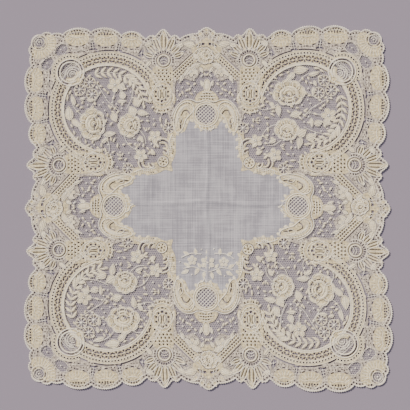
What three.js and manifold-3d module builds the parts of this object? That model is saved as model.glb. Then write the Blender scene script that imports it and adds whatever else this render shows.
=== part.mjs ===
// Lace-bordered handkerchief laid out flat: a sheer lawn centre inside a needle-lace border.
// Millimetres, +Z up, lying on Z = 0. The origin is the middle of the underside.
import * as THREE from 'three';
import { mergeVertices } from 'three/addons/utils/BufferGeometryUtils.js';
import Module from 'manifold-3d';

const wasm = await Module();
wasm.setup();

// Driving sizes
const HALF_SIDE = 187.6;
const LACE_THICK = 1.0;
const CLOTHWORK_TOP = 1.45;
const CORD_TOP = 1.9;
const LAWN_THICK = 1.0;
const LAWN_SPRAY_TOP = 1.3;
const CREASE_HEIGHT = 0.35;
const CREASE_WIDTH = 3.2;
const CREASE_BREAK = 3;
const CREASE_FOOT = 0.1;
const SEAM_GAP = 0.3;
const RELIEF_ROOT = 0.5;
const CUT_MARGIN = 1;

// How far each corner was pulled from the true square when the cloth was laid out
const LAY_PULL = [
  { side: -1, up: 1, dx: 2.1, dy: -6.4 },
  { side: 1, up: 1, dx: 0.5, dy: -3.0 },
  { side: 1, up: -1, dx: 5.7, dy: -5.2 },
  { side: -1, up: -1, dx: 1.5, dy: -1.0 },
];
const LAY_FADE = 1.5;

// Outer edge, half a side: each lobe runs from one valley to the next, "at" along the side
// from its middle and "level" out from the centre, and bulges out from that line
const EDGE_MIDDLE = { at: 10.6, level: 181.0, bulge: 6.6, point: 1.3, steps: 4 };
const EDGE_LOBES = [
  { name: 'small', at: 10.6, level: 181.0, bulge: 1.6, point: 0.7, steps: 3 },
  { name: 'palmette side', at: 27.6, level: 175.8, bulge: 2.4, point: 1.4, steps: 2 },
  { name: 'palmette tip', at: 36.6, level: 178.4, bulge: 7.6, point: 1.3, steps: 4 },
  { name: 'palmette side', at: 53.4, level: 178.4, bulge: 2.4, point: 1.4, steps: 2 },
  { name: 'web', at: 62.6, level: 175.8, bulge: 0, point: 1, steps: 1 },
  { name: 'scallop C', at: 66.4, level: 178.8, bulge: 4.8, point: 0.7, steps: 4 },
  { name: 'scallop B', at: 88.3, level: 179.8, bulge: 6.4, point: 0.6, steps: 6 },
  { name: 'scallop A', at: 119.6, level: 183.5, bulge: 6.0, point: 0.6, steps: 6 },
  { name: 'corner side', at: 148.6, level: 181.0, bulge: 1.7, point: 0.6, steps: 2 },
  { name: 'fan side', at: 160.0, level: 181.6, bulge: 2.6, point: 0.7, steps: 3 },
  { name: 'end', at: 170.8, level: 181.2, bulge: 0, point: 1, steps: 0 },
];
const EDGE_CORNER = { bulge: 3.4, point: 0.7, steps: 4 };

// Inner edge, half an arm of the cross-shaped lawn: "at" to the side, "level" out from the centre
const LAWN_EDGE = [
  { name: 'drop tip', at: 0, level: 73.8 },
  { name: 'drop side', at: 1.8, level: 77.6 },
  { name: 'collar', at: 9.4, level: 80.8 },
  { name: 'collar top', at: 13.4, level: 87.4 },
  { name: 'crown', at: 16.4, level: 89.6 },
  { name: 'crown side', at: 19.4, level: 86.8 },
  { name: 'tail', at: 23.4, level: 76.8 },
  { name: 'arm top', at: 31.8, level: 74.4 },
  { name: 'arm foot', at: 32.2, level: 56.0 },
  { name: 'shoulder', at: 34.2, level: 48.6 },
  { name: 'bulge', at: 36.8, level: 42.6 },
];
const LAWN_CORNER = 35.2;
const LAWN_SHIFT = { x: 1.4, y: -0.2 };

// Corner wreath: rings about one centre on the diagonal
const WREATH = { at: 102, turn: 45, sweep: 232 };
const WREATH_RINGS = [
  { name: 'beaded ring', inner: 55.4, outer: 60.0, top: CLOTHWORK_TOP, steps: 15 },
  { name: 'inner cord', inner: 45.0, outer: 47.8, top: CORD_TOP, steps: 13 },
];
const SCROLL = { at: 139.6, outer: 14.3, inner: 10.6, open: 70, steps: 12 };
const SCROLL_CURL = { off: 2, outer: 5.6, inner: 3.8, from: -20, sweep: 250, steps: 5 };

// Roses and small flowers of the corner spray, x to the right and y up, in the top left corner
const ROSES = [
  { x: -117.5, y: 86.5, radius: 13.6, petals: 6, depth: 0.12, turn: 12 },
  { x: -77.0, y: 83.6, radius: 10.4, petals: 5, depth: 0.10, turn: 40 },
];
const ROSE_HEART = 0.6;
const SMALL_FLOWERS = [
  { x: -91.6, y: 124.6, radius: 6.6 },
  { x: -86.5, y: 114.0, radius: 4.4 },
];
const FLOWER_LOBES = 5;
const FLOWER_DEPTH = 0.13;
const WHEELS = [
  { x: -120.4, y: 127.0, radius: 5.6 },
  { x: -129.4, y: 119.2, radius: 5.6 },
  { x: -117.4, y: 116.0, radius: 5.6 },
];
const WHEEL_SPOKES = 8;
const EYE_STEPS = 5;
const LEAF_BELLY = 0.45;
const SHARP_TURN = 0.5;

// Leaves of the corner spray: place, length, width and the way the tip points
const SPRAY_LEAVES = [
  { x: -73.4, y: 107.6, length: 9.4, width: 6.0, turn: 112 },
  { x: -76.6, y: 99.4, length: 8.6, width: 6.0, turn: 160 },
  { x: -67.6, y: 94.8, length: 9.5, width: 5.6, turn: 20 },
  { x: -94.0, y: 99.0, length: 11.0, width: 4.6, turn: 88 },
  { x: -89.0, y: 95.6, length: 7.5, width: 3.6, turn: 40 },
  { x: -98.0, y: 67.8, length: 11.0, width: 4.6, turn: -80 },
  { x: -127.0, y: 69.0, length: 10.0, width: 4.4, turn: 235 },
  { x: -66.0, y: 67.6, length: 10.0, width: 5.0, turn: -60 },
];

// Herringbone garland under the inner cord: pairs of leaves along an arc of the wreath
const GARLAND = { radius: 35.4, lift: 3.5, from: 106, to: -6, pairs: 6, length: 9.6, width: 3.2, splay: 42 };

// Palmette and medallion, placed twice on each side at "at" along it
const PALMETTE = { at: 45.2, level: 149.5, eye: 4.8, rim: 7.9, petalFrom: 12.0, petalWidth: 7.6, steps: 8 };
const PALMETTE_PETALS = [
  { turn: -62, reach: 25 },
  { turn: -29, reach: 29 },
  { turn: 0, reach: 35.4 },
  { turn: 29, reach: 29 },
  { turn: 62, reach: 25 },
];
const MEDALLION = { level: 113.2, wide: 9.6, tall: 12.4, innerWide: 2.8, innerTall: 4.4, steps: 9 };

// Middle of each side: the rose, its leaves and the two beaded bands
const SIDE_ROSE = { level: 154.8, radius: 7.0, petals: 5, depth: 0.12 };
const SIDE_LEAF = { at: 10.2, level: 147.6, length: 12, width: 5.2, turn: -162 };
const SIDE_BAND = { at: 7.0, level: 160.0, toAt: 30.0, toLevel: 136.6, width: 6.4 };

// Scroll frame between the lawn arm and the net: two leaf scrolls, a lattice disc and its collar
const LATTICE = { level: 94.8, radius: 10.6, rim: 2.6, steps: 10 };
const FRAME_SCROLL = [
  { at: 12.6, level: 99.6 },
  { at: 15.6, level: 107.6 },
  { at: 22.4, level: 108.0 },
  { at: 28.6, level: 102.6 },
  { at: 32.6, level: 94.0 },
  { at: 33.4, level: 84.6 },
  { at: 30.8, level: 76.0 },
  { at: 25.6, level: 77.4 },
  { at: 22.4, level: 84.0 },
  { at: 20.4, level: 90.0 },
];
const FRAME_WHEEL = { at: 38.4, level: 80.2, radius: 5.6 };

// Raised clothwork frame that holds the lawn: its outer edge over half an arm, and the flowers at its corners
const FRAME_EDGE = [
  { name: 'lattice head', at: 0, level: 109.0 },
  { name: 'lattice side', at: 8.4, level: 106.6 },
  { name: 'scroll crown', at: 20.6, level: 109.8 },
  { name: 'scroll back', at: 29.6, level: 103.2 },
  { name: 'scroll back', at: 33.6, level: 94.0 },
  { name: 'scroll foot', at: 34.6, level: 84.0 },
  { name: 'arm side', at: 39.0, level: 74.6 },
  { name: 'arm side', at: 40.4, level: 62.0 },
  { name: 'corner', at: 43.4, level: 53.6 },
];
const FRAME_CORNER = 47.4;
const FRAME_LUMPS = [
  { x: -52.0, y: 70.6, radius: 7.4, turn: 20 },
  { x: -67.2, y: 51.4, radius: 6.8, turn: 20 },
];
const FRAME_DISC = { x: -43.6, y: 44.8, inner: 2.4, outer: 4.8 };

// Slits and bride gaps cut through the lace, one half side each, as corner points
const GAP_WIDTH = 1.7;
const BRIDE_SLITS = [
  { at: 119.0, level: 174.4, toAt: 117.0, toLevel: 164.8 },
  { at: 89.0, level: 172.6, toAt: 91.4, toLevel: 163.2 },
];
const BRIDE_GAPS = [
  { name: 'beside the scallop', corners: [[66.0, 168.0], [71.4, 158.4], [67.0, 155.6], [64.0, 160.0]] },
  { name: 'inside the palmette', corners: [[19.0, 165.4], [27.4, 163.0], [28.4, 159.0], [22.6, 160.4]] },
  { name: 'under the middle scallop', corners: [[5.6, 171.4], [10.4, 166.2], [15.6, 162.6], [6.0, 166.0]] },
];
// C-shaped slits inside each inner corner of the frame
const C_SLITS = [
  { x: -41.6, y: 59.0, radius: 7.0, from: 95, to: 5 },
  { x: -44.0, y: 51.0, radius: 5.4, from: 95, to: 15 },
];
const C_SLIT_WIDTH = 1.2;
const C_SLIT_STEPS = 3;

// Fold creases left in the lawn: low ridges along wandering lines
const CREASES = [
  { name: 'upright', points: [[1.4, 70], [2.2, 36], [0.6, 4], [3.2, -34], [1.0, -70]] },
  { name: 'across left', points: [[-71, 3.4], [-38, 1.6], [-1.4, 4.2]] },
  { name: 'across right', points: [[5.6, 4.4], [38, 0.8], [66, 3.2]] },
  { name: 'short upright', points: [[70.4, 26], [69.6, -4], [71.2, -30]] },
];

// Sprig worked in one arm of the lawn
const LAWN_SPRIG = { x: 2, y: -58, stem: 52, stemWidth: 1.3 };
const LAWN_SPRIG_FLOWER = { rise: 3.8, radius: 6.4, petals: 5, depth: 0.16 };
const LAWN_SPRIG_LEAF = { length: 10.5, width: 4.0 };
const LAWN_SPRIG_LEAVES = [
  { along: -22, turn: 128 },
  { along: -18, turn: -118 },
  { along: -11, turn: 62 },
  { along: 9, turn: -56 },
  { along: 17, turn: 121 },
  { along: 21, turn: -37 },
];

const LACE_COLOUR = '#cfc8b4';
const LAWN_COLOUR = '#dcdde2';

const radians = THREE.MathUtils.degToRad;

function point(x, y) {
  return new THREE.Vector2(x, y);
}

function polar(x, y, reach, turn) {
  return point(x + reach * Math.cos(radians(turn)), y + reach * Math.sin(radians(turn)));
}

// Plain outlines, as closed lists of points

function blob(x, y, wide, tall, steps) {
  const ring = [];
  for (let i = 0; i < steps; i += 1) {
    const angle = (2 * Math.PI * i) / steps;
    ring.push(point(x + wide * Math.cos(angle), y + tall * Math.sin(angle)));
  }
  return ring;
}

function lobed(x, y, radius, lobes, depth, turn) {
  const ring = [];
  const steps = lobes * 2;
  for (let i = 0; i < steps; i += 1) {
    const angle = (360 * i) / steps;
    const reach = radius * (1 - depth + depth * Math.cos(radians(lobes * angle)));
    ring.push(polar(x, y, reach, angle + turn));
  }
  return ring;
}

function leaf(x, y, length, width, turn) {
  const half = width / 2;
  const belly = LEAF_BELLY * length;
  const shape = [point(0, 0), point(belly, -half), point(length, 0), point(belly, half)];
  const base = point(-length / 2, 0);
  return shape.map((p) => p.add(base).rotateAround(point(0, 0), radians(turn)).add(point(x, y)));
}

function arc(x, y, inner, outer, from, to, steps) {
  const near = [];
  const far = [];
  for (let i = 0; i <= steps; i += 1) {
    const turn = from + ((to - from) * i) / steps;
    near.push(polar(x, y, inner, turn));
    far.unshift(polar(x, y, outer, turn));
  }
  return near.concat(far);
}

function strip(from, to, width) {
  const side = to.clone().sub(from).normalize().rotateAround(point(0, 0), Math.PI / 2);
  side.multiplyScalar(width / 2);
  return [from.clone().sub(side), to.clone().sub(side), to.clone().add(side), from.clone().add(side)];
}

function quarterTurn(ring, turns) {
  return ring.map((p) => p.clone().rotateAround(point(0, 0), (-Math.PI / 2) * turns));
}

function mirrored(ring) {
  return ring.map((p) => point(-p.x, p.y)).reverse();
}

function acrossDiagonal(ring) {
  return ring.map((p) => point(-p.y, -p.x)).reverse();
}

// Outer edge of the lace

function lobe(start, end, bulge, sharpness, steps) {
  const out = [];
  const across = end.clone().sub(start).normalize().rotateAround(point(0, 0), Math.PI / 2);
  for (let i = 0; i < steps; i += 1) {
    const t = i / steps;
    const lift = bulge * Math.sin(Math.PI * t) ** sharpness;
    out.push(start.clone().lerp(end, t).addScaledVector(across, lift));
  }
  return out;
}

function outerEdge() {
  const half = [];
  for (let i = 0; i + 1 < EDGE_LOBES.length; i += 1) {
    const row = EDGE_LOBES[i];
    const next = EDGE_LOBES[i + 1];
    half.push(...lobe(point(row.at, row.level), point(next.at, next.level), row.bulge, row.point, row.steps));
  }
  const last = EDGE_LOBES[EDGE_LOBES.length - 1];
  const corner = lobe(point(last.at, last.level), point(last.level, last.at),
    EDGE_CORNER.bulge, EDGE_CORNER.point, EDGE_CORNER.steps);
  const { at, level, bulge, steps } = EDGE_MIDDLE;
  const middle = lobe(point(-at, level), point(at, level), bulge, EDGE_MIDDLE.point, steps);
  const leftHalf = mirrored(half.slice(1));
  const side = [point(-last.at, last.level), ...leftHalf, ...middle, ...half, ...corner];
  return [0, 1, 2, 3].flatMap((turns) => quarterTurn(side, turns));
}

// Cross-shaped outline from half an arm, mirrored and turned to all four sides

function crossOutline(rows, corner) {
  const half = rows.map((row) => point(row.at, row.level));
  const arm = [point(-corner, corner), ...mirrored(half.slice(1)), ...half];
  return [0, 1, 2, 3].flatMap((turns) => quarterTurn(arm, turns));
}

// Outline of the lawn, let out by "margin" on all sides

function lawnEdge(margin) {
  const ring = crossOutline(LAWN_EDGE, LAWN_CORNER);
  return ring.map((p, i) => {
    const before = ring[(i + ring.length - 1) % ring.length];
    const after = ring[(i + 1) % ring.length];
    const ahead = after.clone().sub(p).normalize();
    const behind = p.clone().sub(before).normalize();
    const out = ahead.clone().add(behind).normalize().rotateAround(point(0, 0), Math.PI / 2);
    const spread = Math.max(SHARP_TURN, out.dot(ahead.rotateAround(point(0, 0), Math.PI / 2)));
    return p.clone().addScaledVector(out, margin / spread).add(point(LAWN_SHIFT.x, LAWN_SHIFT.y));
  });
}

// Solids

function toSolid(geometry) {
  geometry.deleteAttribute('normal');
  geometry.deleteAttribute('uv');
  const merged = mergeVertices(geometry, 1e-4);
  const mesh = new wasm.Mesh({
    numProp: 3,
    vertProperties: new Float32Array(merged.attributes.position.array),
    triVerts: new Uint32Array(merged.index.array),
  });
  return new wasm.Manifold(mesh);
}

function slab(ring, low, high) {
  const shape = new THREE.Shape(ring);
  const geometry = new THREE.ExtrudeGeometry(shape, { depth: high - low, bevelEnabled: false });
  geometry.translate(0, 0, low);
  return toSolid(geometry);
}

function hollowSlab(ring, hole, low, high) {
  return slab(ring, low, high).subtract(slab(hole, low - CUT_MARGIN, high + CUT_MARGIN));
}

function onAllSides(make) {
  return [0, 1, 2, 3].flatMap((turns) => make((ring) => quarterTurn(ring, turns)));
}

// Relief of one corner, for the top left corner and its three turns

function cornerRelief(place) {
  const solids = [];
  const raise = (ring, top) => solids.push(slab(place(ring), RELIEF_ROOT, top));
  const centre = WREATH.at;
  const from = 90 + WREATH.turn - WREATH.sweep / 2;
  WREATH_RINGS.forEach((ring) => {
    raise(arc(-centre, centre, ring.inner, ring.outer, from, from + WREATH.sweep, ring.steps), ring.top);
  });
  const { outer, inner, open, steps } = SCROLL;
  const scrollFrom = open / 2 - WREATH.turn;
  raise(arc(-SCROLL.at, SCROLL.at, inner, outer, scrollFrom, scrollFrom + 360 - open, steps), CORD_TOP);
  const curl = SCROLL_CURL;
  const curlAt = SCROLL.at - curl.off;
  const curlEnd = curl.from + curl.sweep;
  raise(arc(-curlAt, curlAt, curl.inner, curl.outer, curl.from, curlEnd, curl.steps), CORD_TOP);
  ROSES.forEach(({ x, y, radius, petals, depth, turn }) => {
    raise(lobed(x, y, radius, petals, depth, turn), CLOTHWORK_TOP);
    raise(lobed(x, y, radius * ROSE_HEART, petals, depth, turn + 180 / petals), CORD_TOP);
  });
  SMALL_FLOWERS.forEach(({ x, y, radius }) => {
    raise(lobed(x, y, radius, FLOWER_LOBES, FLOWER_DEPTH, 0), CLOTHWORK_TOP);
  });
  WHEELS.forEach(({ x, y, radius }) => raise(blob(x, y, radius, radius, WHEEL_SPOKES), CLOTHWORK_TOP));
  SPRAY_LEAVES.forEach(({ x, y, length, width, turn }) => {
    raise(leaf(x, y, length, width, turn), CLOTHWORK_TOP);
  });
  for (let i = 0; i < GARLAND.pairs; i += 1) {
    const angle = GARLAND.from + ((GARLAND.to - GARLAND.from) * (i + 0.5)) / GARLAND.pairs;
    [-1, 1].forEach((way) => {
      const at = polar(-centre, centre, GARLAND.radius - way * GARLAND.lift, angle);
      const turn = angle + 90 + way * GARLAND.splay;
      raise(leaf(at.x, at.y, GARLAND.length, GARLAND.width, turn), CLOTHWORK_TOP);
    });
  }
  FRAME_LUMPS.forEach(({ x, y, radius, turn }) => {
    raise(lobed(x, y, radius, FLOWER_LOBES, FLOWER_DEPTH, turn), CLOTHWORK_TOP);
  });
  const disc = FRAME_DISC;
  solids.push(hollowSlab(place(blob(disc.x, disc.y, disc.outer, disc.outer, WHEEL_SPOKES)),
    place(blob(disc.x, disc.y, disc.inner, disc.inner, EYE_STEPS)), RELIEF_ROOT, CORD_TOP));
  return solids;
}

// Relief of one side, for the top side and its three turns

function sideRelief(place) {
  const solids = [];
  const raise = (ring, top) => solids.push(slab(place(ring), RELIEF_ROOT, top));
  const pair = (ring, top) => [ring, mirrored(ring)].forEach((each) => raise(each, top));
  const hollow = (ring, hole, top) => solids.push(hollowSlab(place(ring), place(hole), RELIEF_ROOT, top));
  PALMETTE_PETALS.forEach(({ turn, reach }) => {
    const root = polar(PALMETTE.at, PALMETTE.level, (PALMETTE.petalFrom + reach) / 2, 90 + turn);
    pair(leaf(root.x, root.y, reach - PALMETTE.petalFrom, PALMETTE.petalWidth, 90 + turn), CLOTHWORK_TOP);
  });
  [-PALMETTE.at, PALMETTE.at].forEach((x) => {
    hollow(blob(x, PALMETTE.level, PALMETTE.rim, PALMETTE.rim, PALMETTE.steps),
      blob(x, PALMETTE.level, PALMETTE.eye, PALMETTE.eye, EYE_STEPS), CORD_TOP);
    hollow(blob(x, MEDALLION.level, MEDALLION.wide, MEDALLION.tall, MEDALLION.steps),
      blob(x, MEDALLION.level, MEDALLION.innerWide, MEDALLION.innerTall, EYE_STEPS), CLOTHWORK_TOP);
  });
  raise(lobed(0, SIDE_ROSE.level, SIDE_ROSE.radius, SIDE_ROSE.petals, SIDE_ROSE.depth, 90), CORD_TOP);
  const sideLeaf = SIDE_LEAF;
  pair(leaf(-sideLeaf.at, sideLeaf.level, sideLeaf.length, sideLeaf.width, sideLeaf.turn), CLOTHWORK_TOP);
  const band = SIDE_BAND;
  pair(strip(point(band.at, band.level), point(band.toAt, band.toLevel), band.width), CLOTHWORK_TOP);
  pair(FRAME_SCROLL.map((row) => point(row.at, row.level)), CORD_TOP);
  const rim = LATTICE.radius + LATTICE.rim;
  hollow(blob(0, LATTICE.level, rim, rim, LATTICE.steps),
    blob(0, LATTICE.level, LATTICE.radius, LATTICE.radius, LATTICE.steps), CORD_TOP);
  const wheel = FRAME_WHEEL;
  pair(blob(wheel.at, wheel.level, wheel.radius, wheel.radius, WHEEL_SPOKES), CLOTHWORK_TOP);
  return solids;
}

// Openings cut through the lace

function gaps(place) {
  const rings = [];
  BRIDE_SLITS.forEach((row) => {
    rings.push(strip(point(row.at, row.level), point(row.toAt, row.toLevel), GAP_WIDTH));
  });
  BRIDE_GAPS.forEach((row) => rings.push(row.corners.map(([x, y]) => point(x, y))));
  const both = rings.concat(rings.map(mirrored));
  C_SLITS.forEach((row) => {
    const ring = arc(row.x, row.y, row.radius - C_SLIT_WIDTH, row.radius, row.from, row.to, C_SLIT_STEPS);
    both.push(ring, acrossDiagonal(ring));
  });
  return both.map((ring) => slab(place(ring), -CUT_MARGIN, CORD_TOP + CUT_MARGIN));
}

function laceBorder() {
  const ground = slab(outerEdge(), 0, LACE_THICK);
  const lattices = onAllSides((place) => [slab(place(blob(0, LATTICE.level, LATTICE.radius, LATTICE.radius,
    LATTICE.steps)), -CUT_MARGIN, CORD_TOP + CUT_MARGIN)]);
  const frame = slab(crossOutline(FRAME_EDGE, FRAME_CORNER), RELIEF_ROOT, CLOTHWORK_TOP)
    .subtract(wasm.Manifold.union(lattices));
  const relief = [frame, ...onAllSides(cornerRelief), ...onAllSides(sideRelief)];
  const hole = slab(lawnEdge(SEAM_GAP), -CUT_MARGIN, CORD_TOP + CUT_MARGIN);
  return ground.add(wasm.Manifold.union(relief)).subtract(wasm.Manifold.union([hole, ...onAllSides(gaps)]));
}

// Lawn centre

function creaseRidge(points) {
  const low = LAWN_THICK - RELIEF_ROOT;
  const ridges = [];
  for (let i = 0; i + 1 < points.length; i += 1) {
    const from = new THREE.Vector3(points[i][0], points[i][1], 0);
    const to = new THREE.Vector3(points[i + 1][0], points[i + 1][1], 0);
    const inset = to.clone().sub(from).normalize().multiplyScalar(CREASE_BREAK / 2);
    const start = from.add(inset);
    const end = to.sub(inset);
    const half = CREASE_WIDTH / 2;
    const foot = LAWN_THICK - CREASE_FOOT;
    const section = new THREE.Shape([point(-half, foot), point(0, LAWN_THICK + CREASE_HEIGHT),
      point(half, foot), point(half, low), point(-half, low)]);
    const length = start.distanceTo(end);
    const geometry = new THREE.ExtrudeGeometry(section, { depth: length, bevelEnabled: false });
    geometry.rotateX(Math.PI / 2);
    geometry.rotateZ(Math.atan2(end.y - start.y, end.x - start.x) + Math.PI / 2);
    geometry.translate(start.x, start.y, 0);
    ridges.push(toSolid(geometry));
  }
  return ridges;
}

function lawnSprig() {
  const { x, y, stem, stemWidth } = LAWN_SPRIG;
  const { rise, radius, petals, depth } = LAWN_SPRIG_FLOWER;
  const { length, width } = LAWN_SPRIG_LEAF;
  const solids = [];
  const raise = (ring) => solids.push(slab(ring, LAWN_THICK - RELIEF_ROOT, LAWN_SPRAY_TOP));
  raise(strip(point(x - stem / 2, y), point(x + stem / 2, y), stemWidth));
  raise(lobed(x, y + rise, radius, petals, depth, 90));
  LAWN_SPRIG_LEAVES.forEach(({ along, turn }) => {
    const middle = polar(x + along, y, length * LEAF_BELLY, turn);
    raise(leaf(middle.x, middle.y, length, width, turn));
  });
  return solids;
}

function lawnCentre() {
  const panel = slab(lawnEdge(0), 0, LAWN_THICK);
  const raised = CREASES.flatMap((row) => creaseRidge(row.points)).concat(lawnSprig());
  return panel.add(wasm.Manifold.union(raised));
}

// The way the square lies: each point follows the pulled corners, more so further out

function layOut(x, y) {
  const u = x / HALF_SIDE;
  const v = y / HALF_SIDE;
  const fade = Math.max(Math.abs(u), Math.abs(v)) ** LAY_FADE;
  let dx = 0;
  let dy = 0;
  LAY_PULL.forEach((corner) => {
    const share = ((1 + corner.side * u) * (1 + corner.up * v)) / 4;
    dx += share * corner.dx * fade;
    dy += share * corner.dy * fade;
  });
  return point(x + dx, y + dy);
}

const edgeBox = new THREE.Box2().setFromPoints(outerEdge().map((p) => layOut(p.x, p.y)));
const middle = edgeBox.getCenter(point(0, 0));

function toGeometry(solid) {
  const mesh = solid.getMesh();
  const places = new Float32Array(mesh.vertProperties);
  for (let i = 0; i < places.length; i += 3) {
    const laid = layOut(places[i], places[i + 1]);
    places[i] = laid.x - middle.x;
    places[i + 1] = laid.y - middle.y;
  }
  const geometry = new THREE.BufferGeometry();
  geometry.setAttribute('position', new THREE.BufferAttribute(places, 3));
  geometry.setIndex(new THREE.BufferAttribute(new Uint32Array(mesh.triVerts), 1));
  geometry.computeVertexNormals();
  return geometry;
}

function clothPiece(name, solid, colour) {
  const material = new THREE.MeshStandardMaterial({ color: colour, roughness: 0.9, metalness: 0 });
  const mesh = new THREE.Mesh(toGeometry(solid), material);
  mesh.name = name;
  return mesh;
}

const handkerchief = new THREE.Group();
handkerchief.add(clothPiece('lawn_centre', lawnCentre(), LAWN_COLOUR));
handkerchief.add(clothPiece('lace_border', laceBorder(), LACE_COLOUR));

export default handkerchief;
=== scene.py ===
"""A lace-bordered handkerchief laid out flat: sheer cotton lawn set in needle lace."""

import math
import random
from math import radians

import bmesh
import bpy
import numpy as np
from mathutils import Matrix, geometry
from mathutils.bvhtree import BVHTree


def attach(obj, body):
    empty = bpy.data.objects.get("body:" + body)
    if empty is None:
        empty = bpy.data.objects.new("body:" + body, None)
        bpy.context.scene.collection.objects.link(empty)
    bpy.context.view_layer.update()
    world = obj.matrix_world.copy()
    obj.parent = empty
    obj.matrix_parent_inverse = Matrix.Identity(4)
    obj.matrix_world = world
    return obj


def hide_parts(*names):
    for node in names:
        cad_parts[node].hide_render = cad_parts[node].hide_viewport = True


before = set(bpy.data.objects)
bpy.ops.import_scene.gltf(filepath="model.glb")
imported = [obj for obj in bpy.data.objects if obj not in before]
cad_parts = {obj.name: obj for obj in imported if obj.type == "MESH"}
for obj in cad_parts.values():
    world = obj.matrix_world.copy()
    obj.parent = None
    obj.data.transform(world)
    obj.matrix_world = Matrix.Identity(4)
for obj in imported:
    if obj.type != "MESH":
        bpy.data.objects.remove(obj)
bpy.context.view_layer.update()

bl_info = {
    "name": "Lace Handkerchief",
    "version": (1, 0, 0),
    "blender": (4, 5, 0),
    "location": "View3D > Sidebar > Handkerchief",
    "description": "Builds a lawn handkerchief with a needle-lace border, laid flat",
    "category": "Object",
}

# Sizes are in millimetres in the pattern, and turned to metres when a mesh is made
MM = 0.001

# Half a side of the lace, and how far each corner was pulled as the cloth was laid out
HALF_SIDE = 187.6
LAY_PULL = (
    {"side": -1, "up": 1, "dx": 2.1, "dy": -6.4},
    {"side": 1, "up": 1, "dx": 0.5, "dy": -3.0},
    {"side": 1, "up": -1, "dx": 5.7, "dy": -5.2},
    {"side": -1, "up": -1, "dx": 1.5, "dy": -1.0},
)
LAY_FADE = 1.5

# Heights above the cloth's own uneven underside: sheets, the foot of padding, and lines sewn on
NET_LEVEL = 0.34
CLOTH_LEVEL = 0.30
PAD_FOOT = 0.40
LAWN_LEVEL = 0.46
BRIDGE_LINE = 0.45
OPEN_LINE = 0.50
STEM_LINE = 0.55
RIB_LINE = 0.60
LOW_LINE = 0.62
PETAL_LINE = 0.64
RIM_LINE = 0.66
SCALE_LINE = 0.68
RING_LINE = 0.70
HIGH_LINE = 0.72
TOP_LINE = 0.74

# Outer edge over half a side: each lobe runs to the next row's place and bulges out from that line
EDGE_MIDDLE = {"at": 10.6, "level": 181.0, "bulge": 6.6, "point": 1.3, "steps": 12}
EDGE_LOBES = (
    {"at": 10.6, "level": 181.0, "bulge": 1.6, "point": 0.7, "steps": 9},  # small
    {"at": 27.6, "level": 175.8, "bulge": 2.4, "point": 1.4, "steps": 6},  # palmette side
    {"at": 36.6, "level": 178.4, "bulge": 7.6, "point": 1.3, "steps": 10},  # palmette tip
    {"at": 53.4, "level": 178.4, "bulge": 2.4, "point": 1.4, "steps": 6},  # palmette side
    {"at": 62.6, "level": 175.8, "bulge": 0, "point": 1, "steps": 2},  # web
    {"at": 66.4, "level": 178.8, "bulge": 4.8, "point": 0.7, "steps": 12},  # scallop C
    {"at": 88.3, "level": 179.8, "bulge": 6.4, "point": 0.6, "steps": 16},  # scallop B
    {"at": 119.6, "level": 183.5, "bulge": 6.0, "point": 0.6, "steps": 16},  # scallop A
    {"at": 148.6, "level": 181.0, "bulge": 1.7, "point": 0.6, "steps": 6},  # corner side
    {"at": 160.0, "level": 181.6, "bulge": 2.6, "point": 0.7, "steps": 7},  # fan side
    {"at": 170.8, "level": 181.2, "bulge": 0, "point": 1, "steps": 0},  # end
)
EDGE_CORNER = {"bulge": 3.4, "point": 0.7, "steps": 10}

# Inner edge over half an arm of the lawn
LAWN_EDGE = (
    (0, 73.8), (1.8, 77.6), (9.4, 80.8), (13.4, 87.4), (16.4, 89.6), (19.4, 86.8),
    (23.4, 76.8), (31.8, 74.4), (32.2, 56.0), (34.2, 48.6), (36.8, 42.6),
)
LAWN_CORNER = 35.2
LAWN_SHIFT = (1.4, -0.2)
LAWN_UNDER_LACE = 1.6

# Raised frame round the lawn: its outer edge over half an arm
FRAME_EDGE = (
    (0, 109.0), (8.4, 106.6), (14.6, 108.8), (20.6, 109.8), (25.6, 107.4), (29.6, 103.2),
    (33.6, 94.0), (34.6, 84.0), (39.0, 74.6), (40.4, 62.0), (43.4, 53.6),
)
FRAME_CORNER = 47.4

# Rings of the corner wreath, about one centre on the diagonal of the top left corner
WREATH = (-102.0, 102.0)
WREATH_FROM = 19.0
WREATH_TO = 251.0
BEAD_RING = {"inner": 55.8, "outer": 60.4, "pitch": 3.3, "eyelet": 0.84}
STAR_BAND = {"inner": 47.8, "outer": 55.4, "pitch": 8.2}
INNER_CORD = {"inner": 45.0, "outer": 47.8}
SCROLL = (-140.2, 140.2)

# Thread and cord radii. Real threads are about 0.1 mm thick, too fine to show, so single ones are drawn
# as bundles of a few
CORD = 0.50
FINE_CORD = 0.30
THREAD = 0.20
THICKEST_FINE_CORD = 0.4

# Openings are drawn a little wider than the gaps between threads, so that they still show from above
SLIT_EASE = 1.4
EYELET_EASE = 1.16
EYELET_SIDES = 7
CRESCENT_HEIGHT = 0.6

CLOTH, LOOSE, NET, OPEN = "cloth", "loose", "net", "open"


def polar(centre, reach, turn):
    """A point at a reach from a centre, at a turn in degrees from the right."""
    return (centre[0] + reach * math.cos(radians(turn)), centre[1] + reach * math.sin(radians(turn)))


def turned(points, centre, turn):
    cos, sin = math.cos(radians(turn)), math.sin(radians(turn))
    return [(centre[0] + x * cos - y * sin, centre[1] + x * sin + y * cos) for x, y in points]


def oval(centre, wide, tall, turn, steps):
    ring = [(wide * math.cos(2 * math.pi * i / steps), tall * math.sin(2 * math.pi * i / steps))
            for i in range(steps)]
    return turned(ring, centre, turn)


def lobed(centre, radius, lobes, depth, turn, steps):
    """A rosette outline with round lobes and sharp valleys between them."""
    ring = []
    for i in range(lobes * steps):
        share = (i % steps) / steps
        reach = radius * (1 - depth + depth * math.sin(math.pi * share) ** 0.7)
        ring.append(polar(centre, reach, turn + 360.0 * i / (lobes * steps)))
    return ring


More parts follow.
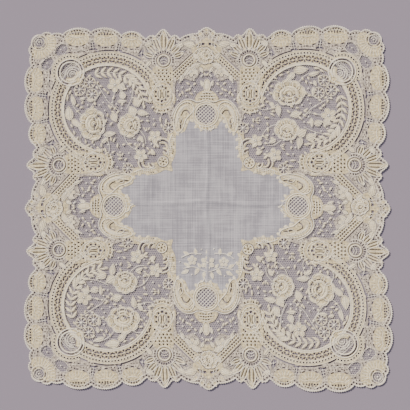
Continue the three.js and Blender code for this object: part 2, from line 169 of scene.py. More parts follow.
def leaf(centre, length, width, turn, steps, tip=1.4):
    """A leaf outline, its base behind the centre and its pointed tip ahead."""
    side = [(length * (i / steps - 0.5), 0.5 * width * math.sin(math.pi * (i / steps) ** (1 / tip)))
            for i in range(1, steps)]
    ring = [(-length / 2, 0)] + [(x, -y) for x, y in side] + [(length / 2, 0)] + side[::-1]
    return turned(ring, centre, turn)


def arc(centre, radius, start, end, step, squash=1.0):
    """An open arc as points a step apart. A squash other than 1 makes it flatter or taller."""
    count = max(2, round(abs(radians(end - start)) * radius / step))
    return [(centre[0] + radius * math.cos(radians(start + (end - start) * i / count)),
             centre[1] + radius * squash * math.sin(radians(start + (end - start) * i / count)))
            for i in range(count + 1)]


def ribbon(line, width):
    """A closed ring that runs along both sides of an open line."""
    pts = np.array(line, float)
    ahead = np.gradient(pts, axis=0)
    ahead /= np.linalg.norm(ahead, axis=1)[:, None]
    side = np.stack([-ahead[:, 1], ahead[:, 0]], 1) * width / 2
    return [tuple(p) for p in np.concatenate([pts + side, (pts - side)[::-1]])]


def smooth(points, steps, closed=False):
    """A soft curve through the points."""
    count = len(points)
    out = []
    for i in range(count if closed else count - 1):
        if closed:
            a, b, c, d = (points[(i + k) % count] for k in (-1, 0, 1, 2))
        else:
            a, b = points[max(i - 1, 0)], points[i]
            c, d = points[i + 1], points[min(i + 2, count - 1)]
        for k in range(steps):
            t = k / steps
            out.append(tuple(
                0.5 * (2 * b[j] + (c[j] - a[j]) * t + (2 * a[j] - 5 * b[j] + 4 * c[j] - d[j]) * t * t
                       + (3 * b[j] - a[j] - 3 * c[j] + d[j]) * t ** 3) for j in (0, 1)))
    if not closed:
        out.append(tuple(points[-1]))
    return out


def along(line, pitch):
    """Places an even pitch apart along a line, each with the way the line runs there."""
    pts = np.array(line, float)
    legs = np.linalg.norm(np.diff(pts, axis=0), axis=1)
    reach = np.concatenate([[0], np.cumsum(legs)])
    count = max(1, round(reach[-1] / pitch))
    for i in range(count):
        s = reach[-1] * (i + 0.5) / count
        k = min(np.searchsorted(reach, s, side="right") - 1, len(legs) - 1)
        t = (s - reach[k]) / max(legs[k], 1e-9)
        place = pts[k] * (1 - t) + pts[k + 1] * t
        way = math.degrees(math.atan2(*(pts[k + 1] - pts[k])[::-1]))
        yield tuple(place), way


def inset(ring, distance):
    """A closed ring moved inwards by a distance. The ring runs anticlockwise."""
    pts = np.array(ring, float)
    ahead = np.roll(pts, -1, 0) - pts
    ahead /= np.maximum(np.linalg.norm(ahead, axis=1), 1e-9)[:, None]
    behind = np.roll(ahead, 1, 0)
    normal = np.stack([-ahead[:, 1] - behind[:, 1], ahead[:, 0] + behind[:, 0]], 1)
    normal /= np.maximum(np.linalg.norm(normal, axis=1), 0.6)[:, None]
    return [tuple(p) for p in pts + normal * distance]


LONGEST_LOOP = 9


def without_loops(ring):
    """The same closed ring with the small loops cut off that an inset leaves in tight bends."""
    start = 0
    ring = list(ring)
    while start < len(ring):
        ahead = (start + 1) % len(ring)
        a, b = ring[start], ring[ahead]
        for step in range(min(LONGEST_LOOP, len(ring) - 2), 1, -1):
            k = start + step
            c, d = ring[k % len(ring)], ring[(k + 1) % len(ring)]
            cut = geometry.intersect_line_line_2d(a, b, c, d)
            if cut is not None and (k + 1) % len(ring) != start:
                drop = {(ahead + n) % len(ring) for n in range(1, step)}
                ring[ahead] = tuple(cut)
                ring = [p for n, p in enumerate(ring) if n not in drop]
                break
        start += 1
    return ring


def area_of(ring):
    pts = np.array(ring, float)
    nxt = np.roll(pts, -1, 0)
    return 0.5 * float(np.sum(pts[:, 0] * nxt[:, 1] - nxt[:, 0] * pts[:, 1]))


def anticlockwise(ring):
    return ring if area_of(ring) > 0 else ring[::-1]


def mirrored(points):
    return [(-x, y) for x, y in points]


def across_diagonal(points):
    return [(-y, -x) for x, y in points]


def quarter(points, turns):
    """The points turned clockwise by quarter turns."""
    for _ in range(turns % 4):
        points = [(y, -x) for x, y in points]
    return points


def lobe(start, end, bulge, point, steps):
    """An edge that bulges out to the left of the way from start to end."""
    dx, dy = end[0] - start[0], end[1] - start[1]
    length = math.hypot(dx, dy)
    out = []
    for i in range(steps):
        t = i / steps
        lift = bulge * math.sin(math.pi * t) ** point / length
        out.append((start[0] + dx * t - dy * lift, start[1] + dy * t + dx * lift))
    return out


def outer_side():
    """Outer edge along the top side, from its left end round to the start of the right side."""
    half = []
    for row, nxt in zip(EDGE_LOBES, EDGE_LOBES[1:]):
        half += lobe((row["at"], row["level"]), (nxt["at"], nxt["level"]),
                     row["bulge"], row["point"], row["steps"])
    last = EDGE_LOBES[-1]
    corner = lobe((last["at"], last["level"]), (last["level"], last["at"]), **EDGE_CORNER)
    mid = EDGE_MIDDLE
    middle = lobe((-mid["at"], mid["level"]), (mid["at"], mid["level"]),
                  mid["bulge"], mid["point"], mid["steps"])
    left = mirrored(half[1:])[::-1]
    return [(-last["at"], last["level"])] + left + middle + half + corner


def outer_edge():
    """The whole outer edge, clockwise from the left end of the top side."""
    return [p for turns in range(4) for p in quarter(outer_side(), turns)]


def cross(rows, corner):
    """A closed cross, from a line over half an arm and the place of its inner corner."""
    arm = [(-corner, corner)] + mirrored(rows[1:])[::-1] + list(rows)
    return [p for turns in range(4) for p in quarter(arm, turns)]


def lawn_edge():
    """The opening in the lace that the lawn shows in."""
    ring = smooth(cross(LAWN_EDGE, LAWN_CORNER), 3, closed=True)
    return [(x + LAWN_SHIFT[0], y + LAWN_SHIFT[1]) for x, y in ring]


def lay_out(points):
    """Where the pattern's points lie once the cloth is laid out: an array, in millimetres."""
    pts = np.asarray(points, float).reshape(-1, 2)
    u, v = pts[:, 0] / HALF_SIDE, pts[:, 1] / HALF_SIDE
    fade = np.maximum(abs(u), abs(v)) ** LAY_FADE
    out = pts.copy()
    for pull in LAY_PULL:
        share = (1 + pull["side"] * u) * (1 + pull["up"] * v) / 4 * fade
        out[:, 0] += share * pull["dx"]
        out[:, 1] += share * pull["dy"]
    return out


LAID_EDGE = lay_out(outer_edge())
LAID_MIDDLE = (LAID_EDGE.min(0) + LAID_EDGE.max(0)) / 2


def swell(x, y):
    """Slow unevenness of a cloth that lies on a table, in millimetres."""
    return (0.62 + 0.16 * np.sin(x / 23 + 1.1) * np.cos(y / 29 + 0.4)
            + 0.14 * np.sin((x + y) / 37 + 2.0) + 0.10 * np.cos((x - 1.4 * y) / 19))


def laid(points, heights):
    """Pattern points and their heights above the cloth, as places in metres."""
    out = lay_out(points) - LAID_MIDDLE
    heights = np.broadcast_to(np.asarray(heights, float), (len(out),))
    return np.column_stack([out, heights + swell(out[:, 0], out[:, 1])]) * MM


class Pattern:
    """All that is worked in the lace, drawn flat. A later region covers an earlier one."""

    def __init__(self):
        self.regions = []
        self.cords = []
        self.threads = []
        self.pads = []
        self.knots = []
        self.bands = []
        self.turns = 0
        self.flip = False
        self.diagonal = False

    def put(self, points):
        if self.flip:
            points = mirrored(points)
        if self.diagonal:
            points = across_diagonal(points)
        return quarter(points, self.turns)

    def region(self, kind, ring):
        self.regions.append((kind, anticlockwise(self.put(ring))))

    def cloth(self, ring):
        self.region(CLOTH, ring)

    def hole(self, ring):
        self.region(OPEN, ring)

    def net(self, ring):
        self.region(NET, ring)

    def eyelet(self, place, radius, turn=0.0):
        radius *= EYELET_EASE
        self.hole(oval(place, radius, radius, turn, EYELET_SIDES))

    def cord(self, line, radius, closed=False, level=LOW_LINE):
        self.cords.append((self.put(line), radius, closed, level))

    def thread(self, line, radius, level):
        self.threads.append((self.put(line), radius, False, level))

    def pad(self, ring, height):
        self.pads.append((anticlockwise(self.put(ring)), height))

    def knot(self, place, radius):
        self.knots.append((self.put([place])[0], radius))

    def both(self, draw):
        for flip in (False, True):
            self.flip = flip
            draw(self)
        self.flip = False

    def over_diagonal(self, draw):
        for diagonal in (False, True):
            self.diagonal = diagonal
            draw(self)
        self.diagonal = False


def slit(pattern, line, width):
    """A narrow opening that runs along a line."""
    pattern.hole(ribbon(line, width * SLIT_EASE))


def eyelet_row(pattern, line, pitch, radius):
    """Round holes an even pitch apart along a line."""
    for place, way in along(line, pitch):
        pattern.eyelet(place, radius, way)


def crescent(pattern, centre, radius, start, end, width):
    """A padded petal that lies along an arc: full in the middle and pointed at both ends."""
    line = arc(centre, radius, start, end, 1.6)
    pattern.bands.append((pattern.put(line), width, CRESCENT_HEIGHT, PAD_FOOT))


WHEEL_SPOKES = 8


def wheel(pattern, centre, radius):
    """Needle-made wheel: threads from a small hub to a lobed rim, each with a petal at its end."""
    pattern.cloth(lobed(centre, radius, WHEEL_SPOKES, 0.14, 180 / WHEEL_SPOKES, 4))
    pattern.hole(oval(centre, radius * 0.84, radius * 0.84, 0, 20))
    for i in range(WHEEL_SPOKES):
        turn = 360.0 * i / WHEEL_SPOKES
        pattern.thread([polar(centre, 0.4, turn), polar(centre, radius * 0.9, turn)], 0.32, level=OPEN_LINE)
        petal = polar(centre, radius * 0.68, turn)
        pattern.cloth(leaf(petal, radius * 0.40, radius * 0.26, turn, 4, 1.0))
        pattern.pad(leaf(petal, radius * 0.36, radius * 0.22, turn, 4, 1.0), 0.5)
    pattern.cord(oval(centre, radius - 0.5, radius - 0.5, 0, 18), 0.32, closed=True)
    pattern.knot(centre, radius * 0.2)


# Edge of the lace

PICOT_PITCH = 2.3
EDGE_HOLE_INSET = 2.5
EDGE_HOLE_PITCH = 3.2
EDGE_HOLE = 0.86
CRESTS = (
    {"at": 134.0, "level": 180.6, "wide": 7.6, "tall": 5.0, "rows": 3},  # scallop A
    {"at": 104.2, "level": 179.8, "wide": 7.4, "tall": 4.8, "rows": 3},  # scallop B
    {"at": 77.4, "level": 177.6, "wide": 6.4, "tall": 4.0, "rows": 2},  # scallop C
    {"at": 19.0, "level": 175.4, "wide": 3.8, "tall": 2.4, "rows": 1},  # beside the middle
)
BRIDES = (
    {"at": 119.0, "level": 176.6, "to_at": 117.0, "to_level": 165.4, "wide": 4.2, "foot": 8.4},
    {"at": 88.8, "level": 175.0, "to_at": 91.2, "to_level": 163.8, "wide": 3.8, "foot": 7.4},
)
BRIDE_GAPS = (
    ((66.0, 168.0), (71.4, 158.4), (67.0, 155.6), (64.0, 160.0)),
    ((19.0, 165.4), (27.4, 163.0), (28.4, 159.0), (22.6, 160.4)),
    ((5.6, 171.4), (10.4, 166.2), (15.6, 162.6), (6.0, 166.0)),
)


def draw_crest(pattern, row):
    """Scallop: a close body under an open crest, a half disc of small holes in arcs with a raised rim."""
    centre = (row["at"], row["level"])
    if row["rows"] > 1:
        body = [(0, -11.4), (0.9, -10.6), (1.5, -7.4), (1.62, -3.0), (1.36, 1.6), (0.9, 4.2), (0, 5.6),
                (-0.9, 4.2), (-1.36, 1.6), (-1.62, -3.0), (-1.5, -7.4), (-0.9, -10.6)]
        body = [(centre[0] + x * row["wide"], centre[1] + y) for x, y in body]
        pattern.cloth(smooth(body, 3, closed=True))
    for k in range(row["rows"]):
        share = 1 - k * 0.36
        line = arc(centre, row["wide"] * share, 0, 180, 1.5, row["tall"] / row["wide"])
        eyelet_row(pattern, line, 2.9, 0.92)
    rim = arc(centre, row["wide"] + 1.7, -10, 190, 1.6, (row["tall"] + 1.5) / (row["wide"] + 1.7))
    pattern.cord(rim, FINE_CORD, level=RIM_LINE)
    if row["rows"] < 2:
        return
    foot = [(centre[0] - row["wide"] * 0.8, centre[1] - 1.6), (centre[0], centre[1] - 2.8),
            (centre[0] + row["wide"] * 0.8, centre[1] - 1.6)]
    pattern.cord(smooth(foot, 4), 0.36, level=RIM_LINE)
    for turn in range(-150, -20, 17):
        ends = [polar((centre[0], centre[1] + 2.0), reach, turn) for reach in (7.6, 12.4)]
        pattern.thread(ends, 0.32, level=LOW_LINE)
    for side in (-0.62, 0.0, 0.62):
        spot = (centre[0] + side * row["wide"] * 1.5, centre[1] - 12.8 + abs(side) * 3.0)
        pattern.hole(oval(spot, 2.0, 0.8, side * 34, 10))


def draw_bride(pattern, row):
    """Ladder between two scallops: a post with an open slit at each side and short bars across."""
    start, end = (row["at"], row["level"]), (row["to_at"], row["to_level"])
    middle = ((start[0] + end[0]) / 2, (start[1] + end[1]) / 2)
    side = row["wide"] / 2
    pattern.hole([start, (middle[0] + side, middle[1] + 1.0), (end[0] + side, end[1]),
                  (end[0] - side, end[1]), (middle[0] - side, middle[1] + 1.0)])
    foot = smooth([(end[0] - row["foot"] / 2, end[1] - 0.9), end,
                   (end[0] + row["foot"] / 2, end[1] - 1.2)], 3)
    slit(pattern, foot, 1.4)
    for place, way in along([start, end], 3.0):
        turn = way + 90
        bar = [polar(place, reach, turn) for reach in (-side - 0.3, side + 0.3)]
        pattern.thread(bar, 0.26, level=BRIDGE_LINE)
    pattern.thread([start, end], 0.34, level=OPEN_LINE)


def half_edge(pattern):
    """Scallops, ladders and gaps over half a side."""
    for row in CRESTS:
        draw_crest(pattern, row)
    for row in BRIDES:
        draw_bride(pattern, row)
    for ring in BRIDE_GAPS:
        pattern.hole(list(ring))
        middle = (sum(x for x, _ in ring) / 4, sum(y for _, y in ring) / 4)
        for corner in ring[:3]:
            pattern.thread([corner, middle], THREAD, level=BRIDGE_LINE)
        pattern.knot(middle, 0.9)


def draw_edge(pattern):
    """Outer edge of one side: two cords, a row of holes between them, and picots."""
    line = outer_side()
    inner = inset(line[::-1], EDGE_HOLE_INSET)[::-1]
    pattern.cord(inset(line[::-1], 0.5)[::-1][:-1], CORD, level=RIB_LINE)
    pattern.cord(inset(line[::-1], 4.1)[::-1][1:-1], FINE_CORD, level=LOW_LINE)
    eyelet_row(pattern, inner[1:-1], EDGE_HOLE_PITCH, EDGE_HOLE)
    for place, _ in along(line, PICOT_PITCH):
        pattern.knot(place, 0.62)
    pattern.both(half_edge)


# Corner: fan, scroll, wreath, wheels

FAN_CENTRE = (-173.0, 173.0)
NET_PATCH = ((-157.4, 160.4), (-152.6, 157.6), (-146.4, 160.2), (-142.8, 165.0), (-145.4, 170.6),
             (-150.2, 171.4), (-155.2, 167.0))
PATCH_SLITS = (
    ((-146.8, 159.4), (-142.6, 161.6), (-138.8, 160.4)),
    ((-133.4, 161.8), (-129.6, 163.4), (-125.6, 162.6)),
)
FAN_BODY = (
    (-158.4, 180.4), (-155.4, 173.4), (-157.6, 165.6), (-162.6, 160.0), (-166.4, 157.4),
    (-173.4, 155.8), (-180.4, 158.4), (-180.0, 170.0), (-176.0, 177.0), (-169.0, 180.0),
)
WHEELS = ((-120.2, 129.0), (-130.4, 121.6), (-117.6, 116.2))
WHEEL_RADIUS = 6.3


def draw_fan(pattern):
    """Rounded corner: a small net disc in a ring of holes, and a close body that fans out from it."""
    centre = FAN_CENTRE
    pattern.cloth(smooth(list(FAN_BODY), 4, closed=True))
    pattern.net(oval(centre, 5.2, 5.2, 0, 16))
    for start, end in ((-58, -12), (-118, -76), (176, 218), (110, 146), (28, 74)):
        slit(pattern, arc(centre, 6.6, start, end, 1.2), 1.0)
    pattern.cord(oval(centre, 5.4, 5.4, 0, 18), FINE_CORD, closed=True, level=RIM_LINE)
    pattern.cord(arc(centre, 8.2, 0, 360, 1.6)[:-1], 0.36, closed=True, level=RIM_LINE)
    pattern.cord(arc(centre, 2.8, -30, 250, 1.2), 0.34, level=LOW_LINE)
    eyelet_row(pattern, arc(centre, 9.9, 40, 230, 2.0), 3.4, 0.8)
    for turn in range(-98, 12, 12):
        rib = [polar(centre, reach, turn) for reach in (9.6, 13.0, 16.4)]
        pattern.thread(rib, 0.34, level=LOW_LINE)
    eyelet_row(pattern, arc(centre, 18.4, -78, -12, 2.0), 3.4, 0.7)
    pattern.knot(centre, 1.0)


def draw_net_patch(pattern):
    """Net window beside the fan, with two eyelets over it and two slits beyond."""
    pattern.net(list(NET_PATCH))
    pattern.cord(list(NET_PATCH), FINE_CORD, closed=True)
    pattern.eyelet((-150.0, 174.2), 1.0)
    pattern.eyelet((-146.8, 174.6), 0.6)
    pattern.knot((-150.6, 164.6), 0.9)
    pattern.knot((-146.8, 166.6), 0.7)
    for line in PATCH_SLITS:
        slit(pattern, smooth(list(line), 4), 1.2)
    pattern.thread(smooth([(-139.6, 163.4), (-133.0, 163.0), (-126.0, 163.4)], 4), 0.3, level=RIM_LINE)


def draw_scroll(pattern):
    """C-scroll of the corner: two cords with a groove between, net inside and a curl of fine arcs."""
    around = arc(SCROLL, 17.2, 62, 208, 1.8)
    pattern.cloth(ribbon(around, 6.0))
    for place, _ in along(around, 3.3):
        pattern.eyelet(place, 0.84)
        pattern.cord(oval(place, 1.3, 1.3, 0, 7), 0.26, closed=True, level=RIM_LINE)
    pattern.cord(arc(SCROLL, 19.6, 62, 208, 1.8), FINE_CORD, level=LOW_LINE)
    pattern.cloth(oval(SCROLL, 14.6, 14.6, 0, 40))
    pattern.net(oval(SCROLL, 10.0, 10.0, 0, 32))
    for radius, thick in ((14.0, 0.6), (10.9, 0.62)):
        pattern.cord(arc(SCROLL, radius, -34, 304, 1.6), thick, level=HIGH_LINE)
    slit(pattern, arc(SCROLL, 12.5, -6, 276, 1.8), 1.1)
    curl = (SCROLL[0] + 2.4, SCROLL[1] - 2.4)
    for k, radius in enumerate((7.8, 5.4, 3.0, 1.0)):
        line = arc(curl, radius, -30 + 8 * k, 186 + 20 * k, 1.2)
        if radius > 2:
            slit(pattern, arc(curl, radius - 1.2, -24 + 8 * k, 180 + 20 * k, 1.2), 1.0)
        pattern.cord(line, 0.42, level=RIM_LINE)
    for turn in range(-20, 200, 44):
        pattern.thread([polar(curl, 1.0, turn), polar(curl, 7.4, turn)], 0.18, level=OPEN_LINE)
    pattern.cloth(ribbon(arc(SCROLL, 8.0, 236, 366, 1.6), 4.2))
    crescent(pattern, SCROLL, 8.2, 234, 368, 3.6)
    tail = smooth([polar(SCROLL, 12.4, -34), (-129.0, 131.0), (-132.0, 128.0), (-135.4, 128.2)], 4)
    pattern.cloth(ribbon(tail, 3.0))
    pattern.cord(tail, CORD, level=HIGH_LINE)


def draw_wreath(pattern):
    """Half wreath: beaded ring, band of stars and a smooth inner cord, one inside the other."""
    for ring in (BEAD_RING, STAR_BAND, INNER_CORD):
        middle = (ring["inner"] + ring["outer"]) / 2
        line = arc(WREATH, middle, WREATH_FROM, WREATH_TO, 2.4)
        pattern.cloth(ribbon(line, ring["outer"] - ring["inner"] + 1.0))
    for start, end in ((56, 78), (84, 104), (110, 128), (142, 160), (166, 186), (192, 214)):
        slit(pattern, arc(WREATH, 61.5, start, end, 2.4), 1.1)
    for start, end in ((28, 52), (218, 242)):
        slit(pattern, arc(WREATH, 61.3, start, end, 2.4), 0.9)
    beads = arc(WREATH, 57.7, WREATH_FROM, WREATH_TO, 2.4)
    for place, way in along(beads, BEAD_RING["pitch"]):
        pattern.eyelet(place, BEAD_RING["eyelet"], way)
        pattern.cord(oval(place, 1.3, 1.3, 0, 7), 0.26, closed=True, level=RIM_LINE)
    for radius, thick in ((60.3, FINE_CORD), (55.8, FINE_CORD), (47.6, 0.36), (45.4, CORD)):
        pattern.cord(arc(WREATH, radius, WREATH_FROM - 3, WREATH_TO + 3, 2.4), thick, level=LOW_LINE)
    smooth_band = arc(WREATH, 46.4, WREATH_FROM - 4, WREATH_TO + 4, 2.4)
    pattern.bands.append((pattern.put(smooth_band), 1.9, 0.3, 0.55))
    stars = arc(WREATH, (STAR_BAND["inner"] + STAR_BAND["outer"]) / 2, WREATH_FROM + 2, WREATH_TO - 2, 2.4)
    for place, way in along(stars, STAR_BAND["pitch"]):
        draw_star(pattern, place, way)
    slit(pattern, arc(WREATH, 44.2, 60, 112, 2.0), 0.9)
    slit(pattern, arc(WREATH, 44.2, 158, 210, 2.0), 0.9)


STAR_RAYS = 6
STAR_REACH = 2.6


def draw_star(pattern, place, way):
    """Snowflake of the star band: six holes round a small knot, and two more towards the next star."""
    for i in range(STAR_RAYS):
        turn = way + 360.0 * (i + 0.5) / STAR_RAYS
        pattern.hole(leaf(polar(place, STAR_REACH, turn), 3.5, 2.3, turn, 4, 0.8))
    for side in (-1, 1):
        spot = turned([(STAR_BAND["pitch"] / 2, side * 2.3)], place, way)[0]
        pattern.hole(oval(spot, 1.15, 0.85, way + 90, 7))
    pattern.knot(place, 0.7)


# Flowers, leaves and strokes of the corner spray, in the top left corner. Every leaf here
# and further on has its place, length, width and the way its tip points; a stroke has no width

SPRAY_FLOWER = {"x": -94.2, "y": 126.4, "radius": 8.0, "petals": 5}
BIG_LEAVES = (
    (-71.8, 108.4, 11.6, 8.0, 114), (-76.0, 98.8, 11.4, 9.0, 122), (-65.2, 96.4, 12.6, 6.0, -10),
    (-86.6, 108.8, 10.0, 3.6, 4), (-79.0, 135.6, 12.4, 4.6, 176), (-73.6, 131.0, 8.0, 3.2, -10),
    (-83.6, 130.6, 6.6, 3.4, 128), (-86.8, 124.8, 9.4, 6.0, 76), (-86.4, 115.8, 9.4, 6.4, 110),
    (-141.8, 97.8, 15.4, 8.6, 96), (-137.6, 111.6, 12.4, 4.2, 108), (-134.0, 86.6, 14.6, 5.8, -42),
    (-94.6, 91.6, 10.4, 7.4, -68), (-118.8, 110.6, 9.4, 3.4, -6), (-127.4, 112.4, 6.6, 3.2, 20),
    (-98.8, 74.8, 12.4, 5.4, 6), (-104.6, 68.4, 8.4, 4.0, 40), (-66.4, 68.6, 8.4, 4.0, -60),
)
STROKES = (
    (-108.7, 125.1, 4.0, -15), (-112.0, 129.0, 3.6, 62), (-112.6, 123.4, 4.0, -62), (-109.6, 117.6, 3.0, 80),
    (-132.8, 105.5, 4.2, 30), (-128.6, 103.3, 4.4, 12), (-132.6, 99.6, 4.0, 20), (-127.7, 108.4, 3.6, 62),
    (-114.6, 106.6, 3.4, 92), (-116.9, 102.9, 3.8, 55), (-99.6, 103.0, 5.0, -58), (-98.0, 102.4, 4.0, 52),
    (-93.7, 101.6, 4.6, 52), (-95.6, 97.4, 4.6, -30), (-90.8, 97.4, 4.8, 48), (-86.4, 106.0, 3.6, 80),
    (-101.4, 118.2, 3.6, 76), (-95.6, 112.8, 4.6, 64), (-83.2, 122.2, 4.2, 24), (-77.6, 127.6, 5.0, 88),
    (-71.2, 119.2, 5.4, 100), (-67.0, 117.0, 8.0, -70), (-74.4, 126.4, 7.0, 92), (-70.8, 127.6, 7.4, -24),
    (-66.8, 123.6, 7.6, -42), (-62.6, 123.4, 6.0, 98), (-59.6, 126.0, 8.0, -64), (-61.2, 117.4, 6.4, 84),
    (-64.6, 106.4, 6.4, 86), (-104.4, 121.0, 5.4, -46), (-120.6, 136.2, 4.4, 40), (-126.6, 135.0, 4.4, 100),
    (-101.6, 69.4, 5.0, 88), (-98.0, 69.6, 4.6, 96), (-108.0, 63.6, 4.4, 92), (-91.2, 62.8, 5.4, 86),
    (-103.6, 58.2, 5.0, 98), (-94.6, 68.6, 5.6, 62), (-82.6, 48.2, 3.6, 40), (-88.4, 49.0, 5.4, 2),
    (-96.4, 43.2, 3.8, 60), (-95.6, 56.0, 4.4, 30), (-69.6, 68.6, 4.0, 84), (-78.4, 64.0, 5.4, 8),
    (-64.2, 62.4, 4.4, 78), (-66.0, 88.2, 4.0, 24), (-60.0, 88.0, 3.6, -20), (-47.0, 89.8, 6.6, 92),
    (-41.0, 87.8, 5.6, 84), (-53.4, 84.4, 4.0, 60), (-45.6, 83.2, 4.2, 110), (-52.8, 61.6, 4.2, 84),
    (-58.0, 54.0, 4.4, 30), (-84.6, 63.6, 3.6, 20), (-71.8, 59.4, 3.6, 70), (-59.4, 58.6, 4.2, -50),
    (-117.0, 67.2, 4.2, 70), (-121.8, 63.8, 5.0, 20), (-124.4, 68.0, 4.6, 96), (-136.4, 77.6, 4.6, 110),
    (-133.0, 71.6, 4.0, 60), (-139.2, 84.6, 4.0, 120), (-111.4, 60.6, 3.8, -30), (-143.4, 114.2, 7.0, 84),
    (-140.6, 119.4, 6.0, 60), (-134.6, 116.8, 4.0, 130), (-101.6, 94.4, 3.8, 88), (-103.0, 88.6, 3.6, 70),
    (-97.6, 85.4, 5.0, 46), (-63.6, 103.0, 4.4, 70), (-57.0, 69.0, 4.0, 50), (-48.6, 70.0, 4.4, 86),
)
DOTS = (
    (-110.1, 117.5), (-103.6, 112.9), (-122.1, 105.4), (-110.0, 104.9), (-92.4, 105.8), (-104.4, 99.2),
    (-77.8, 118.6), (-75.4, 112.6), (-80.6, 124.6), (-97.0, 107.4), (-86.8, 101.2), (-101.0, 63.6),
    (-88.4, 55.6), (-62.0, 77.6), (-53.6, 90.0), (-72.4, 64.0), (-84.6, 43.6), (-91.4, 40.4), (-55.8, 63.4),
    (-118.6, 61.8), (-115.4, 64.0), (-130.6, 66.4), (-73.8, 69.6), (-60.4, 92.4), (-67.6, 80.6),
    (-106.0, 107.6), (-98.4, 53.4), (-79.2, 54.4), (-105.8, 93.2), (-137.4, 73.2),
)
STEMS = (
    ((-113.0, 128.0), (-109.0, 121.6), (-105.0, 115.0), (-101.0, 108.6), (-95.6, 103.6), (-90.4, 99.0)),
    ((-95.8, 103.6), (-96.2, 110.0), (-95.0, 116.0), (-93.6, 121.0)),
    ((-108.2, 119.8), (-113.8, 110.4), (-119.4, 102.0), (-121.0, 98.4)),
    ((-82.0, 100.6), (-78.4, 108.0), (-76.0, 116.0), (-75.6, 124.6), (-77.8, 131.0)),
    ((-75.8, 121.4), (-70.6, 117.2), (-67.6, 111.6)),
    ((-106.0, 74.4), (-100.6, 66.4), (-99.6, 58.6), (-102.4, 51.6)),
    ((-127.6, 78.6), (-130.4, 70.2), (-127.0, 62.0)),
    ((-84.6, 74.6), (-82.0, 66.6), (-76.6, 60.6), (-70.0, 57.0)),
    ((-128.0, 95.0), (-133.6, 99.6), (-138.0, 106.6), (-139.6, 114.6)),
    ((-68.0, 78.0), (-62.6, 70.6), (-62.0, 63.6)),
)
GARLAND = {"radius": 38.0, "lift": 3.1, "start": 110.0, "end": 6.0, "pairs": 11, "length": 8.8, "width": 2.8,
           "splay": 44}
ROSES = (
    {"x": -117.0, "y": 85.4, "radius": 15.0, "turn": 0, "stretch": 1.14},
    {"x": -78.6, "y": 83.4, "radius": 12.4, "turn": -8, "stretch": 1.0},
)
ROSE_PETALS = (
    {"way": 98, "reach": 0.70, "long": 0.36, "wide": 0.46},
    {"way": 146, "reach": 0.66, "long": 0.34, "wide": 0.40},
    {"way": 190, "reach": 0.64, "long": 0.36, "wide": 0.42},
    {"way": 234, "reach": 0.68, "long": 0.34, "wide": 0.40},
    {"way": 280, "reach": 0.70, "long": 0.34, "wide": 0.46},
    {"way": 326, "reach": 0.62, "long": 0.32, "wide": 0.36},
    {"way": 8, "reach": 0.60, "long": 0.30, "wide": 0.34},
    {"way": 50, "reach": 0.66, "long": 0.32, "wide": 0.40},
)
ROSE_FOLDS = (
    {"reach": 0.52, "start": 66, "end": 214, "wide": 0.21},
    {"reach": 0.50, "start": 216, "end": 318, "wide": 0.18},
    {"reach": 0.46, "start": -36, "end": 56, "wide": 0.13},
    {"reach": 0.31, "start": 96, "end": 268, "wide": 0.17},
    {"reach": 0.28, "start": -70, "end": 70, "wide": 0.12},
    {"reach": 0.13, "start": 20, "end": 250, "wide": 0.12},
)
BOTTOM_SPRIGS = ((-107.6, 58.4), (-88.4, 52.6), (-70.6, 62.2), (-61.0, 79.0))


def draw_rose(pattern, x, y, radius, turn, stretch=1.0):
    """A full rose: loose outer petals, folds that curl round each other, and gaps between them all."""
    centre = (x, y)
    outer = []
    for row in ROSE_PETALS:
        way = turn + row["way"]
        across, up = polar(centre, radius * row["reach"], way)
        spot = (across, y + (up - y) * stretch)
        outer.append((spot, radius * row["long"], radius * row["wide"], way))
    for spot, tall, wide, way in outer:
        pattern.hole(oval(spot, tall + 0.9, wide + 0.9, way, 14))
    pattern.hole(oval(centre, radius * 0.66, radius * 0.66 * stretch, 0, 20))
    for spot, tall, wide, way in outer[::2] + outer[1::2]:
        pattern.hole(oval(spot, tall + 0.6, wide + 0.6, way, 14))
        pattern.cloth(oval(spot, tall, wide, way, 14))
        pattern.cord(oval(spot, tall - 0.2, wide - 0.2, way, 12), 0.36, closed=True, level=RIM_LINE)
        crescent(pattern, polar(spot, -tall * 0.3, way), tall * 0.95, way - 62, way + 62, tall * 0.5)
    heart = polar(centre, radius * 0.08, turn + 8)
    pattern.hole(oval(heart, radius * 0.68, radius * 0.66 * stretch, 0, 24))
    pattern.net(oval(heart, radius * 0.62, radius * 0.60 * stretch, 0, 24))
    for row in ROSE_FOLDS:
        line = arc(heart, radius * row["reach"], turn + row["start"], turn + row["end"], 1.4, stretch)
        pattern.cloth(ribbon(line, radius * row["wide"] + 0.4))
        pattern.bands.append((pattern.put(line), radius * row["wide"], 0.8, PAD_FOOT))
    pattern.knot(heart, radius * 0.07)


def draw_small_flower(pattern, x, y, radius, petals):
    """A small open flower: corded petals with gaps between them, round a knot."""
    centre = (x, y)
    ways = [360.0 * (i + 0.5) / petals + 18 for i in range(petals)]
    for way in ways:
        spot = polar(centre, radius * 0.6, way)
        pattern.hole(oval(spot, radius * 0.42 + 0.8, radius * 0.36 + 0.8, way, 12))
    for way in ways:
        spot = polar(centre, radius * 0.6, way)
        pattern.cloth(oval(spot, radius * 0.42, radius * 0.36, way, 12))
        rim = oval(spot, radius * 0.40, radius * 0.34, way, 10)
        pattern.cord(rim, FINE_CORD, closed=True, level=PETAL_LINE)
        pattern.pad(oval(spot, radius * 0.28, radius * 0.2, way, 8), 0.4)
        pattern.eyelet(polar(centre, radius * 0.3, way + 36), 0.5)
    pattern.knot(centre, radius * 0.16)


